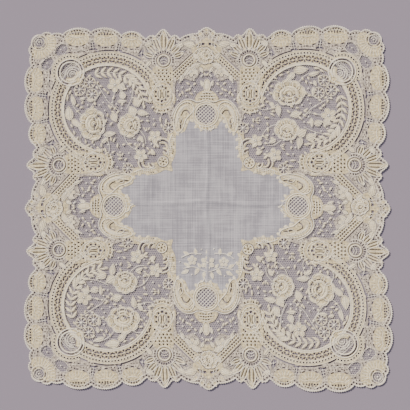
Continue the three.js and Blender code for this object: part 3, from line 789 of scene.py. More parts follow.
def draw_leaf(pattern, x, y, length, width, turn):
    """A padded leaf with a cord round it and a few rib stitches."""
    centre = (x, y)
    pattern.hole(leaf(centre, length + 1.6, width + 1.5, turn, 6))
    pattern.cloth(leaf(centre, length, width, turn, 6))
    pattern.pad(leaf(centre, length * 0.9, width * 0.78, turn, 5), 0.5)
    pattern.cord(leaf(centre, length, width, turn, 5), FINE_CORD, closed=True, level=RIM_LINE)
    pattern.thread([polar(centre, -length * 0.44, turn), polar(centre, length * 0.40, turn)], 0.24, level=1.0)
    if width > 5:
        for side in (-0.24, 0.24):
            foot = polar(centre, width * side, turn + 90)
            rib = [polar(foot, length * share, turn) for share in (-0.3, 0.22)]
            pattern.thread(rib, 0.22, level=0.9)


def draw_garland(pattern, radius, lift, start, end, pairs, length, width, splay):
    """Pairs of slanting leaves on a cord, along an arc of the wreath."""
    way = 90 if end > start else -90
    spine = arc(WREATH, radius, start, end, 2.0)
    pattern.cord(spine, 0.32, level=STEM_LINE)
    for i in range(pairs):
        turn = start + (end - start) * (i + 0.5) / pairs
        for side in (-1, 1):
            place = polar(WREATH, radius + side * lift, turn)
            lean = turn + way - side * splay * (way / 90)
            pattern.pad(leaf(place, length, width, lean, 5), 0.7)
            pattern.cloth(leaf(place, length, width, lean, 4))


def draw_spray(pattern):
    """All that grows in a corner: garland, stems, leaves, dots, flowers and wheels."""
    draw_garland(pattern, **GARLAND)
    for stem in STEMS:
        pattern.cord(smooth(list(stem), 4), 0.34, level=STEM_LINE)
    for row in BIG_LEAVES:
        draw_leaf(pattern, *row)
    for x, y, length, turn in STROKES:
        pattern.pad(leaf((x, y), length + 0.4, 2.1, turn, 4), 0.7)
    for x, y in DOTS:
        pattern.knot((x, y), 1.0)
    draw_small_flower(pattern, **SPRAY_FLOWER)
    for row in ROSES:
        draw_rose(pattern, **row)
    for x, y in BOTTOM_SPRIGS:
        for side in (-2.4, 0, 2.4):
            pattern.pad(leaf((x + side, y + abs(side) * 0.4), 4.4, 1.5, 90 - side * 12, 4), 0.5)
    for centre in WHEELS:
        wheel(pattern, centre, WHEEL_RADIUS)


# Side: palmettes, medallions, beaded bands and the middle rose

PALMETTE = (44.2, 152.4)
PETAL_FOOT = 10.6
PETALS = (
    {"turn": -68, "reach": 22.6, "width": 6.4}, {"turn": -45, "reach": 27.0, "width": 7.0},
    {"turn": -22, "reach": 29.6, "width": 7.4}, {"turn": 0, "reach": 33.2, "width": 9.4},
    {"turn": 22, "reach": 29.6, "width": 7.4}, {"turn": 45, "reach": 27.0, "width": 7.0},
    {"turn": 68, "reach": 22.6, "width": 6.4},
)
MEDALLION = (45.6, 116.6)
MEDALLION_GROUND = (
    (36.4, 146.0), (52.8, 146.0), (58.0, 133.0), (56.2, 118.0), (54.6, 106.0), (46.0, 99.8),
    (37.4, 104.4), (35.0, 114.0), (34.6, 131.0),
)
SIDE_NET = (
    (0, 141.4), (6.4, 140.6), (10.0, 134.4), (15.0, 130.6), (21.0, 132.8), (29.6, 133.8),
    (32.6, 126.0), (31.8, 114.0), (33.6, 103.0), (31.0, 99.0), (0, 99.0),
)
SIDE_DOTS = (
    (4.0, 136.6), (-5.0, 135.4), (11.6, 119.0), (27.6, 128.6), (20.6, 114.4), (29.4, 110.4),
    (24.6, 123.6), (12.6, 131.0), (15.4, 124.6), (29.6, 120.0),
)
SIDE_STROKES = (
    (1.4, 137.6, 3.8, 60), (12.0, 127.0, 4.0, -40), (19.0, 127.8, 4.4, 30), (24.4, 118.0, 4.6, 70),
    (15.6, 117.0, 4.0, 20), (20.0, 120.4, 4.4, -30), (17.0, 121.6, 3.6, -70), (27.0, 115.8, 4.0, 120),
)


# The beaded band slants at 45 degrees, so an offset across it goes in equal shares to both axes
BAND_START = (5.0, 162.0)
BAND_END = (33.0, 134.4)
BAND_SHARE = 0.7


def beside_band(off):
    """The beaded band's middle line, moved across the band."""
    shift = off * BAND_SHARE
    return [(x + shift, y + shift) for x, y in (BAND_START, BAND_END)]


def half_side_bands(pattern):
    """The beaded band that runs down from the middle rose, between two cords."""
    start, end = BAND_START, BAND_END
    pattern.cloth(ribbon([start, end], 9.6))
    for off, pitch, size in ((2.7, 2.8, 0.78), (-0.2, 3.0, 0.9), (-3.0, 2.8, 0.72)):
        eyelet_row(pattern, beside_band(off), pitch, size)
    for off in (4.2, 1.2, -1.6, -4.4):
        pattern.cord(beside_band(off), FINE_CORD, level=RIM_LINE)
    shift = 5.4 * BAND_SHARE
    slit(pattern, [(start[0] + shift + 4, start[1] + shift - 4), (end[0] + 4, end[1] + 4)], 0.8)
    slit(pattern, [(start[0] - 0.4, start[1] - 10.4), (end[0] - 6.4, end[1] - 3.4)], 0.7)


def draw_palmette(pattern):
    """Fan of seven ribbed petals round a small net disc, with a row of long slots between."""
    centre = PALMETTE
    petals = []
    for row in PETALS:
        turn = 90 - row["turn"]
        middle = polar(centre, (row["reach"] + PETAL_FOOT) / 2, turn)
        petals.append((middle, row["reach"] - PETAL_FOOT, row["width"], turn))
    for middle, length, width, turn in petals:
        pattern.hole(leaf(middle, length + 1.6, width + 3.0, turn, 7, 1.1))
    for middle, length, width, turn in petals:
        pattern.cloth(leaf(middle, length + 1.0, width, turn, 7, 1.1))
        pattern.cord(leaf(middle, length + 0.6, width - 0.5, turn, 6, 1.1), 0.4, closed=True, level=RIM_LINE)
        for side in (-0.2, 0.2):
            foot = polar(middle, width * side, turn + 90)
            line = [polar(foot, share * length, turn) for share in (-0.36, -0.05, 0.24)]
            slit(pattern, line, 0.74)
        rib = [polar(middle, share * length, turn) for share in (-0.44, 0.36)]
        pattern.thread(rib, 0.28, level=RIB_LINE)
    for turn in range(-20, 201, 15):
        pattern.hole(oval(polar(centre, 9.5, turn), 1.6, 0.86, turn, 8))
    pattern.cord(arc(centre, 11.4, -24, 204, 1.8), FINE_CORD, level=RIM_LINE)
    pattern.hole(oval(centre, 7.6, 7.6, 0, 24))
    pattern.cloth(oval(centre, 6.8, 6.8, 0, 24))
    pattern.net(oval(centre, 4.9, 4.9, 0, 18))
    pattern.cord(oval(centre, 5.8, 5.8, 0, 20), CORD, closed=True, level=RING_LINE)
    for rise in (-1.4, 1.4):
        bar = [(centre[0] - 3.6, centre[1] + rise - 1.6), (centre[0], centre[1] + rise),
               (centre[0] + 3.6, centre[1] + rise - 1.6)]
        pattern.thread(smooth(bar, 4), 0.36, level=RIB_LINE)
    pattern.cord(arc(centre, 8.6, 150, 390, 1.8), 0.4, level=RIM_LINE)


def draw_scales(pattern):
    """Overlapping scales between the palmette's disc and the medallion."""
    for level, count in ((142.4, 3), (139.0, 5), (135.6, 4), (132.2, 5)):
        for i in range(count):
            x = PALMETTE[0] + 0.8 + (i - (count - 1) / 2) * 4.0
            pattern.cord(arc((x, level), 1.9, 190, 350, 1.0, 1.3), 0.32, level=SCALE_LINE)
            pattern.hole(oval((x, level - 0.3), 0.9, 1.1, 0, 7))


def draw_medallion(pattern):
    """Oval medallion: two upright bars in a ring of holes, with a scroll at each side and a foot."""
    centre = MEDALLION
    pattern.cloth(oval(centre, 10.6, 13.4, 0, 30))
    for i in range(10):
        turn = 36.0 * i + 18
        size = 1.45 if i in (2, 7) else 1.2
        spot = (centre[0] + 6.6 * math.cos(radians(turn)), centre[1] + 7.6 * math.sin(radians(turn)))
        pattern.hole(oval(spot, size * 1.1, size, turn, 8))
    for side in (-1, 1):
        bar = (centre[0] + side * 2.5, centre[1])
        pattern.hole(oval(bar, 2.1, 5.4, 0, 14))
        pattern.cloth(oval(bar, 1.1, 4.4, 0, 14))
        pattern.pad(oval(bar, 1.0, 4.0, 0, 10), 0.5)
    pattern.cord(oval(centre, 4.9, 5.9, 0, 20), 0.34, closed=True, level=RIM_LINE)
    pattern.cord(lobed(centre, 9.6, 10, 0.12, 0, 4), 0.42, closed=True, level=SCALE_LINE)
    pattern.cord(oval(centre, 10.3, 12.8, 0, 30), 0.36, closed=True, level=PETAL_LINE)
    pattern.eyelet((centre[0], centre[1] - 12.0), 1.2)
    for side in (-1, 1):
        pattern.eyelet((centre[0] + side * 3.8, centre[1] - 11.4), 0.9)
        shoulder = [(centre[0] + side * 8.8, centre[1] + 9.6), (centre[0] + side * 5.4, centre[1] + 12.6)]
        eyelet_row(pattern, shoulder, 2.6, 0.9)
        spot = (centre[0] + side * 11.4, centre[1] - 4.4)
        pattern.cloth(leaf(spot, 12.4, 5.4, 90 + side * 16, 6, 0.9))
        curl = (centre[0] + side * 3.0, centre[1] - 4.0)
        facing = 90 - side * 90
        crescent(pattern, curl, 9.4, facing - 40, facing + 40, 2.6)
        slit(pattern, arc(curl, 7.2, facing - 30, facing + 30, 1.6), 1.0)
    row = smooth([(centre[0] - 7.6, centre[1] - 16.2), (centre[0], centre[1] - 18.4),
                  (centre[0] + 7.6, centre[1] - 16.2)], 4)
    pattern.cloth(ribbon(row, 4.6))
    eyelet_row(pattern, row, 3.0, 0.95)
    for drop in (1.9, -1.9):
        pattern.cord([(x, y - drop) for x, y in row], 0.4, level=SCALE_LINE)


def half_side(pattern):
    """Half of one side: beaded band, palmette, medallion and the leaves between them."""
    half_side_bands(pattern)
    pattern.cloth(smooth(list(MEDALLION_GROUND), 4, closed=True))
    draw_palmette(pattern)
    draw_scales(pattern)
    draw_medallion(pattern)
    draw_side_leaves(pattern)
    for x, y in SIDE_DOTS:
        pattern.knot((x, y), 1.0)
    for x, y, length, turn in SIDE_STROKES:
        pattern.pad(leaf((x, y), length + 0.4, 2.1, turn, 4), 0.7)


SIDE_LEAVES = (
    (18.6, 169.8, 14.0, 7.2, 12), (27.6, 168.4, 8.4, 4.6, -24), (12.4, 146.6, 9.0, 4.2, 138),
    (20.4, 138.8, 9.4, 4.2, -52), (25.6, 133.0, 8.0, 3.6, -70), (10.2, 139.4, 8.0, 3.6, -110),
    (59.6, 170.4, 9.4, 5.2, 150), (60.4, 148.6, 9.8, 4.2, -52),
)
SIDE_FLORET = {"x": 15.6, "y": 140.6, "radius": 5.6, "petals": 5}
FRINGE = {"reach": 20.4, "count": 7, "start": -160, "end": -20, "length": 5.2, "width": 2.2}


def draw_side_leaves(pattern):
    """Leaves and florets that fill the ground round the beaded band, and a fringe under the medallion."""
    for row in SIDE_LEAVES:
        draw_leaf(pattern, *row)
    draw_small_flower(pattern, **SIDE_FLORET)
    for i in range(FRINGE["count"]):
        turn = FRINGE["start"] + (FRINGE["end"] - FRINGE["start"]) * i / (FRINGE["count"] - 1)
        place = (MEDALLION[0] + 0.62 * FRINGE["reach"] * math.cos(radians(turn)),
                 MEDALLION[1] + FRINGE["reach"] * math.sin(radians(turn)))
        pattern.pad(leaf(place, FRINGE["length"], FRINGE["width"], turn, 4), 0.6)
    for x, y in ((6.6, 181.0), (14.0, 176.6), (0.0, 184.0)):
        pattern.cloth(leaf((x, y), 7.6, 4.4, 90 - x * 3.4, 5))
        pattern.cord(leaf((x, y), 7.4, 4.2, 90 - x * 3.4, 5), 0.34, closed=True, level=RIM_LINE)


def draw_middle(pattern):
    """Rose, leaves and bud at the middle of a side."""
    pattern.cloth([(-16.0, 166.0), (-12.0, 149.0), (-7.0, 141.4), (0, 143.0), (7.0, 141.4), (12.0, 149.0),
                   (16.0, 166.0), (0, 177.0)])
    for side in (-1, 1):
        slit(pattern, smooth([(side * 2.0, 169.8), (side * 6.4, 169.6), (side * 10.4, 166.6)], 4), 1.9)
        pattern.thread([(side * 5.0, 172.0), (side * 5.8, 167.4)], 0.4, level=RIB_LINE)
        pattern.thread([(side * 8.0, 170.8), (side * 8.6, 165.8)], 0.4, level=RIB_LINE)
        draw_leaf(pattern, side * 10.4, 146.8, 12.0, 5.4, 90 + side * 66)
        draw_leaf(pattern, side * 11.4, 157.0, 8.4, 4.4, 90 - side * 40)
        slit(pattern, smooth([(side * 4.0, 148.6), (side * 8.0, 150.6), (side * 12.0, 150.4)], 3), 0.8)
        draw_leaf(pattern, side * 5.0, 142.0, 7.0, 3.4, 90 + side * 150)
        for k in range(3):
            rib = [(side * (2.0 + 3.4 * k), 173.6 - 1.0 * k), (side * (3.2 + 4.0 * k), 180.6 - 1.4 * k)]
            pattern.thread(rib, 0.28, level=PETAL_LINE)
    draw_rose(pattern, -1.0, 157.4, 9.2, 30)
    for i in range(5):
        pattern.eyelet(polar((0, 176.0), 5.0, 30 + 30 * i), 0.55)
    draw_pendant(pattern)


def draw_pendant(pattern):
    """Bud that hangs into the side net above the frame, on a foot of close bars."""
    pattern.cloth(oval((0.8, 125.6), 3.6, 7.0, 0, 16))
    pattern.pad(oval((0.8, 126.0), 2.8, 5.6, 0, 12), 0.55)
    pattern.cord(oval((0.8, 125.6), 3.6, 7.0, 0, 16), 0.34, closed=True, level=RIM_LINE)
    for side in (-1, 1):
        draw_leaf(pattern, 0.8 + side * 5.2, 127.8, 7.4, 3.0, 90 - side * 24)
        slit(pattern, [(0.8 + side * 1.2, 122.0), (0.8 + side * 1.6, 128.6)], 0.5)
    foot = [(-10.4, 109.0), (-9.0, 116.4), (-4.0, 119.6), (0.8, 120.4), (5.6, 119.6), (10.0, 116.4),
            (11.4, 109.0)]
    pattern.cloth(smooth(foot, 4, closed=True))
    for level, half in ((118.4, 5.0), (115.6, 7.4), (112.8, 8.6)):
        bar = [(0.8 - half, level - 0.6), (0.8, level), (0.8 + half, level - 0.6)]
        pattern.cord(bar, 0.42, level=RIM_LINE)
        line = [(0.8 - half * 0.86, level - 2.0), (0.8, level - 1.4), (0.8 + half * 0.86, level - 2.0)]
        eyelet_row(pattern, line, 2.8, 0.72)


# Frame round the lawn

LATTICE = (0, 94.8)
LATTICE_RADIUS = 10.0
LATTICE_PITCH = 2.7
FRAME_SCROLL = (
    (12.6, 99.6), (15.6, 107.0), (22.4, 107.6), (28.6, 102.6), (32.2, 94.0), (33.0, 84.6), (30.4, 76.0),
    (25.6, 77.4), (22.4, 84.0), (20.4, 90.0),
)
FRAME_WHEEL = (38.4, 80.2)
C_SLITS = (
    {"x": -44.6, "y": 60.4, "radius": 6.8, "start": 128, "end": -16, "width": 1.3},
    {"x": -43.6, "y": 53.4, "radius": 3.6, "start": 96, "end": -20, "width": 1.2},
)
CORNER_POCKET = ((-57.0, 66.0), (-49.6, 68.0), (-46.4, 62.6), (-48.2, 57.0), (-53.4, 57.0))
CORNER_FLOWERS = (
    {"x": -52.4, "y": 71.0, "radius": 7.2, "petals": 5},
    {"x": -67.0, "y": 51.8, "radius": 6.8, "petals": 5},
)
CORNER_ROSETTE = (-43.8, 45.2)


def draw_lattice(pattern):
    """Disc of crossed threads over the middle of an arm, with a ribbed drop below it."""
    centre = LATTICE
    pattern.cloth(oval(centre, 13.4, 13.4, 0, 36))
    pattern.hole(oval(centre, LATTICE_RADIUS, LATTICE_RADIUS, 0, 32))
    reach = LATTICE_RADIUS
    count = int(reach / LATTICE_PITCH)
    for i in range(-count, count + 1):
        off = i * LATTICE_PITCH
        half = math.sqrt(max(reach * reach - off * off, 0.1))
        for turn in (45, -45):
            ends = turned([(-half, off), (half, off)], centre, turn)
            pattern.thread(ends, 0.32, level=OPEN_LINE)
    for radius, thick in ((10.8, 0.45), (13.0, 0.45)):
        pattern.cord(oval(centre, radius, radius, 0, 30), thick, closed=True, level=RING_LINE)
    drop = smooth([(-7.6, 83.4), (-6.0, 79.6), (-1.6, 78.0), (0, 74.6), (1.6, 78.0), (6.0, 79.6),
                   (7.6, 83.4)], 4)
    pattern.cord([(x + LAWN_SHIFT[0], y) for x, y in drop], CORD, level=HIGH_LINE)
    for x in (-6, -3, 0, 3, 6):
        pattern.thread([(x, 79.0 + abs(x) * 0.3), (x * 1.15, 84.0)], 0.3, level=SCALE_LINE)


def half_frame(pattern):
    """One side's scroll, its wheel and the ribbed band that runs down to the corner."""
    scroll = smooth(list(FRAME_SCROLL), 3, closed=True)
    pattern.cord(scroll, CORD, closed=True, level=TOP_LINE)
    body = smooth([(13.4, 97.4), (17.4, 103.0), (22.4, 103.4), (27.2, 97.6), (29.4, 90.0), (29.6, 83.0),
                   (28.4, 78.4)], 4)
    pattern.bands.append((pattern.put(body), 5.2, 0.36, PAD_FOOT))
    for shift in (-2.1, 0.1, 2.0):
        ridge = [(x + shift * 0.8, y - shift * 0.5) for x, y in body[1:-1]]
        pattern.cord(ridge, 0.28, level=0.86 - 0.1 * abs(shift))
    groove = smooth([(10.8, 99.6), (14.6, 105.6), (21.6, 107.2), (28.4, 102.4), (31.8, 94.0),
                     (32.4, 85.0)], 4)
    eyelet_row(pattern, groove, 2.9, 0.78)
    slit(pattern, smooth([(16.4, 95.0), (19.4, 99.0), (23.0, 98.6), (25.6, 93.6)], 4), 0.9)
    slit(pattern, smooth([(24.4, 90.0), (26.0, 85.0), (26.0, 79.6)], 4), 0.9)
    rim = smooth([(1.0, 110.4), (8.4, 108.0), (14.4, 110.2), (20.6, 110.6), (26.4, 107.6), (31.4, 101.6),
                  (35.0, 94.0)], 4)
    pattern.cord(rim, CORD, level=RIM_LINE)
    wheel(pattern, FRAME_WHEEL, 6.0)
    pattern.cord(oval((26.4, 88.0), 2.2, 3.8, -20, 12), 0.34, closed=True, level=0.95)
    side = smooth([(34.6, 74.0), (37.6, 66.0), (38.0, 58.0), (40.6, 52.6)], 4)
    pattern.cord(side, 0.46, level=TOP_LINE)
    for place, way in along(smooth([(35.0, 72.0), (36.0, 62.0), (37.4, 54.0)], 4), 2.4):
        pattern.thread([polar(place, -2.2, way + 80), polar(place, 2.0, way + 80)], 0.36, level=RING_LINE)
        pattern.eyelet(polar(place, 3.4, way - 80), 0.7)
    for x, y, size in ((29.6, 74.0, 0.9), (33.8, 89.0, 1.0), (37.6, 88.4, 0.9), (41.4, 74.0, 0.9)):
        pattern.eyelet((x, y), size)


def corner_frame(pattern):
    """C scrolls beside the corner rosette: a dark groove between two cords."""
    pattern.net(smooth(list(CORNER_POCKET), 3, closed=True))
    for row in C_SLITS:
        line = arc((row["x"], row["y"]), row["radius"], row["start"], row["end"], 1.2)
        pattern.cloth(ribbon(line, 6.0))
    for row in C_SLITS:
        centre = (row["x"], row["y"])
        line = arc(centre, row["radius"], row["start"], row["end"], 1.2)
        slit(pattern, line, row["width"])
        for side, thick in ((1.9, 0.46), (-1.7, 0.36)):
            beside = arc(centre, row["radius"] + side, row["start"], row["end"], 1.4)
            pattern.cord(beside, thick, level=HIGH_LINE)
    pattern.pad(leaf((-50.6, 62.6), 7.6, 2.6, 130, 5), 0.6)
    pattern.pad(leaf((-55.4, 54.6), 8.0, 4.0, 150, 5), 0.5)


FRAME_TIPS = (
    (14.8, 88.8, 6.0, 3.6, -128), (18.8, 87.4, 5.2, 3.4, -60), (21.6, 82.6, 5.8, 3.6, -98),
    (24.8, 77.2, 5.0, 3.6, -70), (29.2, 74.6, 5.6, 3.4, -112), (32.4, 68.4, 4.8, 3.4, -122),
    (32.6, 59.8, 5.0, 3.4, -118), (34.6, 51.2, 5.4, 3.2, -132), (10.0, 82.0, 5.2, 3.4, -40),
    (4.4, 78.8, 4.8, 3.2, -64),
)


def frame_tips(pattern):
    """Small padded leaf tips that stand over the lawn all round the frame's inner edge."""
    for x, y, length, width, turn in FRAME_TIPS:
        pattern.pad(leaf((x, y), length, width, turn, 6, 0.9), 0.36)


def draw_frame(pattern):
    """The frame's raised work round one arm, and in one inner corner."""
    pattern.both(half_frame)
    pattern.both(frame_tips)
    draw_lattice(pattern)
    pattern.over_diagonal(corner_frame)
    for row in CORNER_FLOWERS:
        draw_small_flower(pattern, **row)
    draw_corner_rosette(pattern)


def draw_corner_rosette(pattern):
    """Small round rosette in the frame's inner corner: six dots and six holes round a hub."""
    centre = CORNER_ROSETTE
    pattern.hole(oval(centre, 6.4, 6.4, 0, 20))
    pattern.cloth(oval(centre, 5.6, 5.6, 0, 20))
    pattern.cord(oval(centre, 5.2, 5.2, 0, 18), 0.42, closed=True, level=HIGH_LINE)
    for i in range(6):
        turn = 60.0 * i + 15
        pattern.hole(oval(polar(centre, 3.2, turn + 30), 0.95, 0.8, turn, 7))
        pattern.pad(oval(polar(centre, 2.9, turn), 1.4, 1.1, turn, 8), 0.5)
    pattern.hole(oval(centre, 1.0, 1.0, 0, 8))


def corner_net():
    """The net ground of one corner, inside the wreath and out to the frame."""
    round_part = arc(WREATH, 44.8, WREATH_TO, WREATH_FROM, 3.0)
    return round_part + [(-52.0, 111.0), (-40.0, 100.0), (-33.0, 70.0), (-45.0, 45.0), (-70.0, 33.0),
                         (-100.0, 40.0), (-111.0, 52.0)]


def draw_quarter(pattern):
    """The net grounds of one corner and one side, the edge and the corner's fan."""
    pattern.net(corner_net())
    pattern.net(list(SIDE_NET) + mirrored(SIDE_NET[1:-1])[::-1])
    draw_edge(pattern)
    pattern.over_diagonal(draw_net_patch)
    draw_fan(pattern)


def draw_corner_rings(pattern):
    draw_wreath(pattern)
    draw_scroll(pattern)


def draw_side(pattern):
    pattern.both(half_side)


def draw_frame_piece(pattern):
    """The close clothwork under the frame, drawn once for all four arms."""
    if pattern.turns == 0:
        pattern.cloth(smooth(cross(FRAME_EDGE, FRAME_CORNER), 3, closed=True))


def make_pattern():
    """The whole pattern, each step over all four quarters, in the order that the steps cover each other."""
    pattern = Pattern()
    pattern.regions.append((LOOSE, anticlockwise(outer_edge())))
    steps = (
        draw_quarter,
        draw_corner_rings,
        draw_side,
        draw_middle,
        draw_spray,
        draw_frame_piece,
        draw_frame,
    )
    for step in steps:
        for turns in range(4):
            pattern.turns = turns
            step(pattern)
    pattern.turns = 0
    pattern.hole(lawn_edge())
    return pattern


# Pinholes between stitches: few and fine where the clothwork is close, more where it is worked loosely
PINHOLES = (
    {"kind": CLOTH, "size": 0.46, "pitch": 4.4, "clear": 1.3},
    {"kind": LOOSE, "size": 0.78, "pitch": 2.9, "clear": 1.15},
)
PINHOLE_SEED = 7
PINHOLE_JITTER = 0.2
PINHOLE_SIZES = (0.7, 1.25)
ROW_SHARE = 0.87


def arrangement(regions):
    """The regions cut along each other's lines: points, triangles and each triangle's kind."""
    points, faces = [], []
    for _, ring in regions:
        start = len(points)
        points += ring
        faces.append(list(range(start, len(points))))
    out = geometry.delaunay_2d_cdt(points, [], faces, 1, 1e-4, True)
    coords, triangles, owners = out[0], out[2], out[5]
    kinds = [regions[max(ids)][0] if ids else None for ids in owners]
    return [tuple(c) for c in coords], triangles, kinds


def kind_finder(points, triangles, kinds):
    """A function that tells the kind of ground at a place."""
    tree = BVHTree.FromPolygons([(x, y, 0.0) for x, y in points], triangles)

    def kind_at(x, y):
        hit = tree.ray_cast((x, y, 1.0), (0, 0, -1.0))[2]
        return None if hit is None else kinds[hit]
    return kind_at


def pinholes(kind_at):
    """Pinholes in uneven rows, wherever the clothwork is whole all round."""
    chance = random.Random(PINHOLE_SEED)
    reach = HALF_SIDE + 2
    holes = []
    for row in PINHOLES:
        pitch = row["pitch"]
        jitter = pitch * PINHOLE_JITTER
        lines = int(reach / pitch / ROW_SHARE)
        columns = int(reach / pitch)
        for line in range(-lines, lines + 1):
            for column in range(-columns, columns + 1):
                x = (column + 0.5 * (line % 2)) * pitch + chance.uniform(-jitter, jitter)
                y = line * pitch * ROW_SHARE + chance.uniform(-jitter, jitter)
                size = row["size"] * chance.uniform(*PINHOLE_SIZES)
                turn = chance.uniform(0, 90)
                around = [polar((x, y), row["clear"], way) for way in range(0, 360, 60)]
                if all(kind_at(*spot) == row["kind"] for spot in around):
                    holes.append((OPEN, oval((x, y), size, size, turn, 4)))
    return holes


# Scene helpers

SMOOTH_TURN = 40.0
PER_METRE = 1000.0


def linear(value):
    """A colour written as an sRGB hex value, turned to linear."""
    parts = [int(value[i:i + 2], 16) / 255 for i in (1, 3, 5)]
    return tuple(p / 12.92 if p <= 0.04045 else ((p + 0.055) / 1.055) ** 2.4 for p in parts) + (1.0,)


def in_mm(length):
    """A length from the panel in millimetres, without the noise of its last digits."""
    return round(length / MM, 4)


def deselect():
    if bpy.context.object and bpy.context.object.mode != "OBJECT":
        bpy.ops.object.mode_set(mode="OBJECT")
    bpy.ops.object.select_all(action="DESELECT")


def select(obj):
    deselect()
    obj.select_set(True)
    bpy.context.view_layer.objects.active = obj


def apply_modifiers(obj):
    select(obj)
    for modifier in list(obj.modifiers):
        bpy.ops.object.modifier_apply(modifier=modifier.name)


def new_mesh(name, points, faces):
    mesh = bpy.data.meshes.new(name)
    mesh.from_pydata([tuple(p) for p in points], [], [list(f) for f in faces])
    mesh.validate()
    obj = bpy.data.objects.new(name, mesh)
    bpy.context.scene.collection.objects.link(obj)
    return obj


def finish_piece(obj, material, second=None):
    """Smooths the piece, gives it its finish, and says what it rides on."""
    select(obj)
    bpy.ops.object.shade_smooth_by_angle(angle=radians(SMOOTH_TURN))
    obj.data.materials.append(material)
    if second is not None:
        obj.data.materials.append(second)
    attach(obj, "root")
    return obj


def add_node(tree, kind, settings=(), links=(), **attributes):
    """One node: its inputs set by name, its attributes set, and its links made."""
    node = tree.nodes.new(kind)
    for key, value in attributes.items():
        setattr(node, key, value)
    for key, value in dict(settings).items():
        node.inputs[key].default_value = value
    for source, target in links:
        tree.links.new(source, node.inputs[target])
    return node


# What all the finishes share: cotton is matt with a soft fuzz. A wave texture runs through 20 radians a
# unit, and the relief of a weave repeats every second thread. A slub is a thick stretch of thread, about
# 40 to 55 mm long and one thread across
COTTON_ROUGHNESS = 0.85
FUZZ_ROUGHNESS = 0.5
COTTON_GLOSS = 0.2
RELIEF_DEPTH = 0.2
WAVE_RADIANS = 20
SLUB_STRETCH = ((26, 760, 1), (760, 18, 1))


def cotton(name, colour, shade, thread_mm, bump, sheen=0.35, alpha=1.0, mottle_mm=9.0, slubs=0.0,
           stitch_mm=0.0, gaps="", gap_shade_share=0.5):
    """Cotton thread work: matt, a little fuzzy, with the rows of its weave or stitches as fine relief, and
    painted shade between the stitches where a stitch size is given.
    """
    material = bpy.data.materials.new(name)
    material.use_nodes = True
    tree = material.node_tree
    tree.nodes.clear()
    place = add_node(tree, "ShaderNodeTexCoord").outputs["Object"]
    mottle = add_node(tree, "ShaderNodeTexNoise",
                      {"Scale": PER_METRE / mottle_mm, "Detail": 3.0, "Roughness": 0.6},
                      [(place, "Vector")])
    tint = add_node(tree, "ShaderNodeMapRange",
                    {"From Min": 0.35, "From Max": 0.65, "To Min": 0.0, "To Max": 1.0},
                    [(mottle.outputs["Fac"], "Value")])
    for stretch in SLUB_STRETCH if slubs else ():
        drawn = add_node(tree, "ShaderNodeMapping", {"Scale": stretch}, [(place, "Vector")])
        slub = add_node(tree, "ShaderNodeTexNoise", {"Scale": 1.0, "Detail": 2.0},
                        [(drawn.outputs[0], "Vector")])
        share = add_node(tree, "ShaderNodeMapRange",
                         {"From Min": 0.35, "From Max": 0.65, "To Min": -slubs, "To Max": slubs},
                         [(slub.outputs["Fac"], "Value")])
        tint = add_node(tree, "ShaderNodeMath", {}, [(tint.outputs[0], 0), (share.outputs[0], 1)],
                        operation="ADD", use_clamp=True)
    mix = add_node(tree, "ShaderNodeMix", {}, [(tint.outputs[0], 0)], data_type="RGBA")
    mix.inputs[6].default_value = linear(shade)
    mix.inputs[7].default_value = linear(colour)
    tone = mix.outputs[2]
    # Painted shade: the borders of the Voronoi cells, which stand for the stitches, are blended towards the
    # gap colour, a darker shade painted between the stitches
    if stitch_mm:
        stitch = add_node(tree, "ShaderNodeTexVoronoi", {"Scale": PER_METRE / stitch_mm},
                          [(place, "Vector")])
        depth = add_node(tree, "ShaderNodeMapRange",
                         {"From Min": 0.32, "From Max": 0.62, "To Min": 0.0, "To Max": gap_shade_share},
                         [(stitch.outputs["Distance"], "Value")])
        blend = add_node(tree, "ShaderNodeMix", {}, [(depth.outputs["Result"], 0), (tone, 6)],
                         data_type="RGBA")
        blend.inputs[7].default_value = linear(gaps)
        tone = blend.outputs[2]
    rows = []
    for direction in ("X", "Y"):
        wave = add_node(tree, "ShaderNodeTexWave",
                        {"Scale": PER_METRE / thread_mm / WAVE_RADIANS * math.pi, "Distortion": 1.2,
                         "Detail": 1.0, "Detail Scale": 1.5},
                        [(place, "Vector")], bands_direction=direction)
        rows.append(wave.outputs["Fac"])
    woven = add_node(tree, "ShaderNodeMath", {}, [(rows[0], 0), (rows[1], 1)], operation="ADD")
    relief = add_node(tree, "ShaderNodeBump", {"Strength": bump, "Distance": RELIEF_DEPTH * MM},
                      [(woven.outputs["Value"], "Height")])
    shader = add_node(tree, "ShaderNodeBsdfPrincipled",
                      {"Roughness": COTTON_ROUGHNESS, "Sheen Weight": sheen,
                       "Sheen Roughness": FUZZ_ROUGHNESS, "Alpha": alpha,
                       "Specular IOR Level": COTTON_GLOSS},
                      [(tone, "Base Color"), (relief.outputs["Normal"], "Normal")])
    add_node(tree, "ShaderNodeOutputMaterial", {}, [(shader.outputs["BSDF"], "Surface")])
    return material


FINISHES = {}


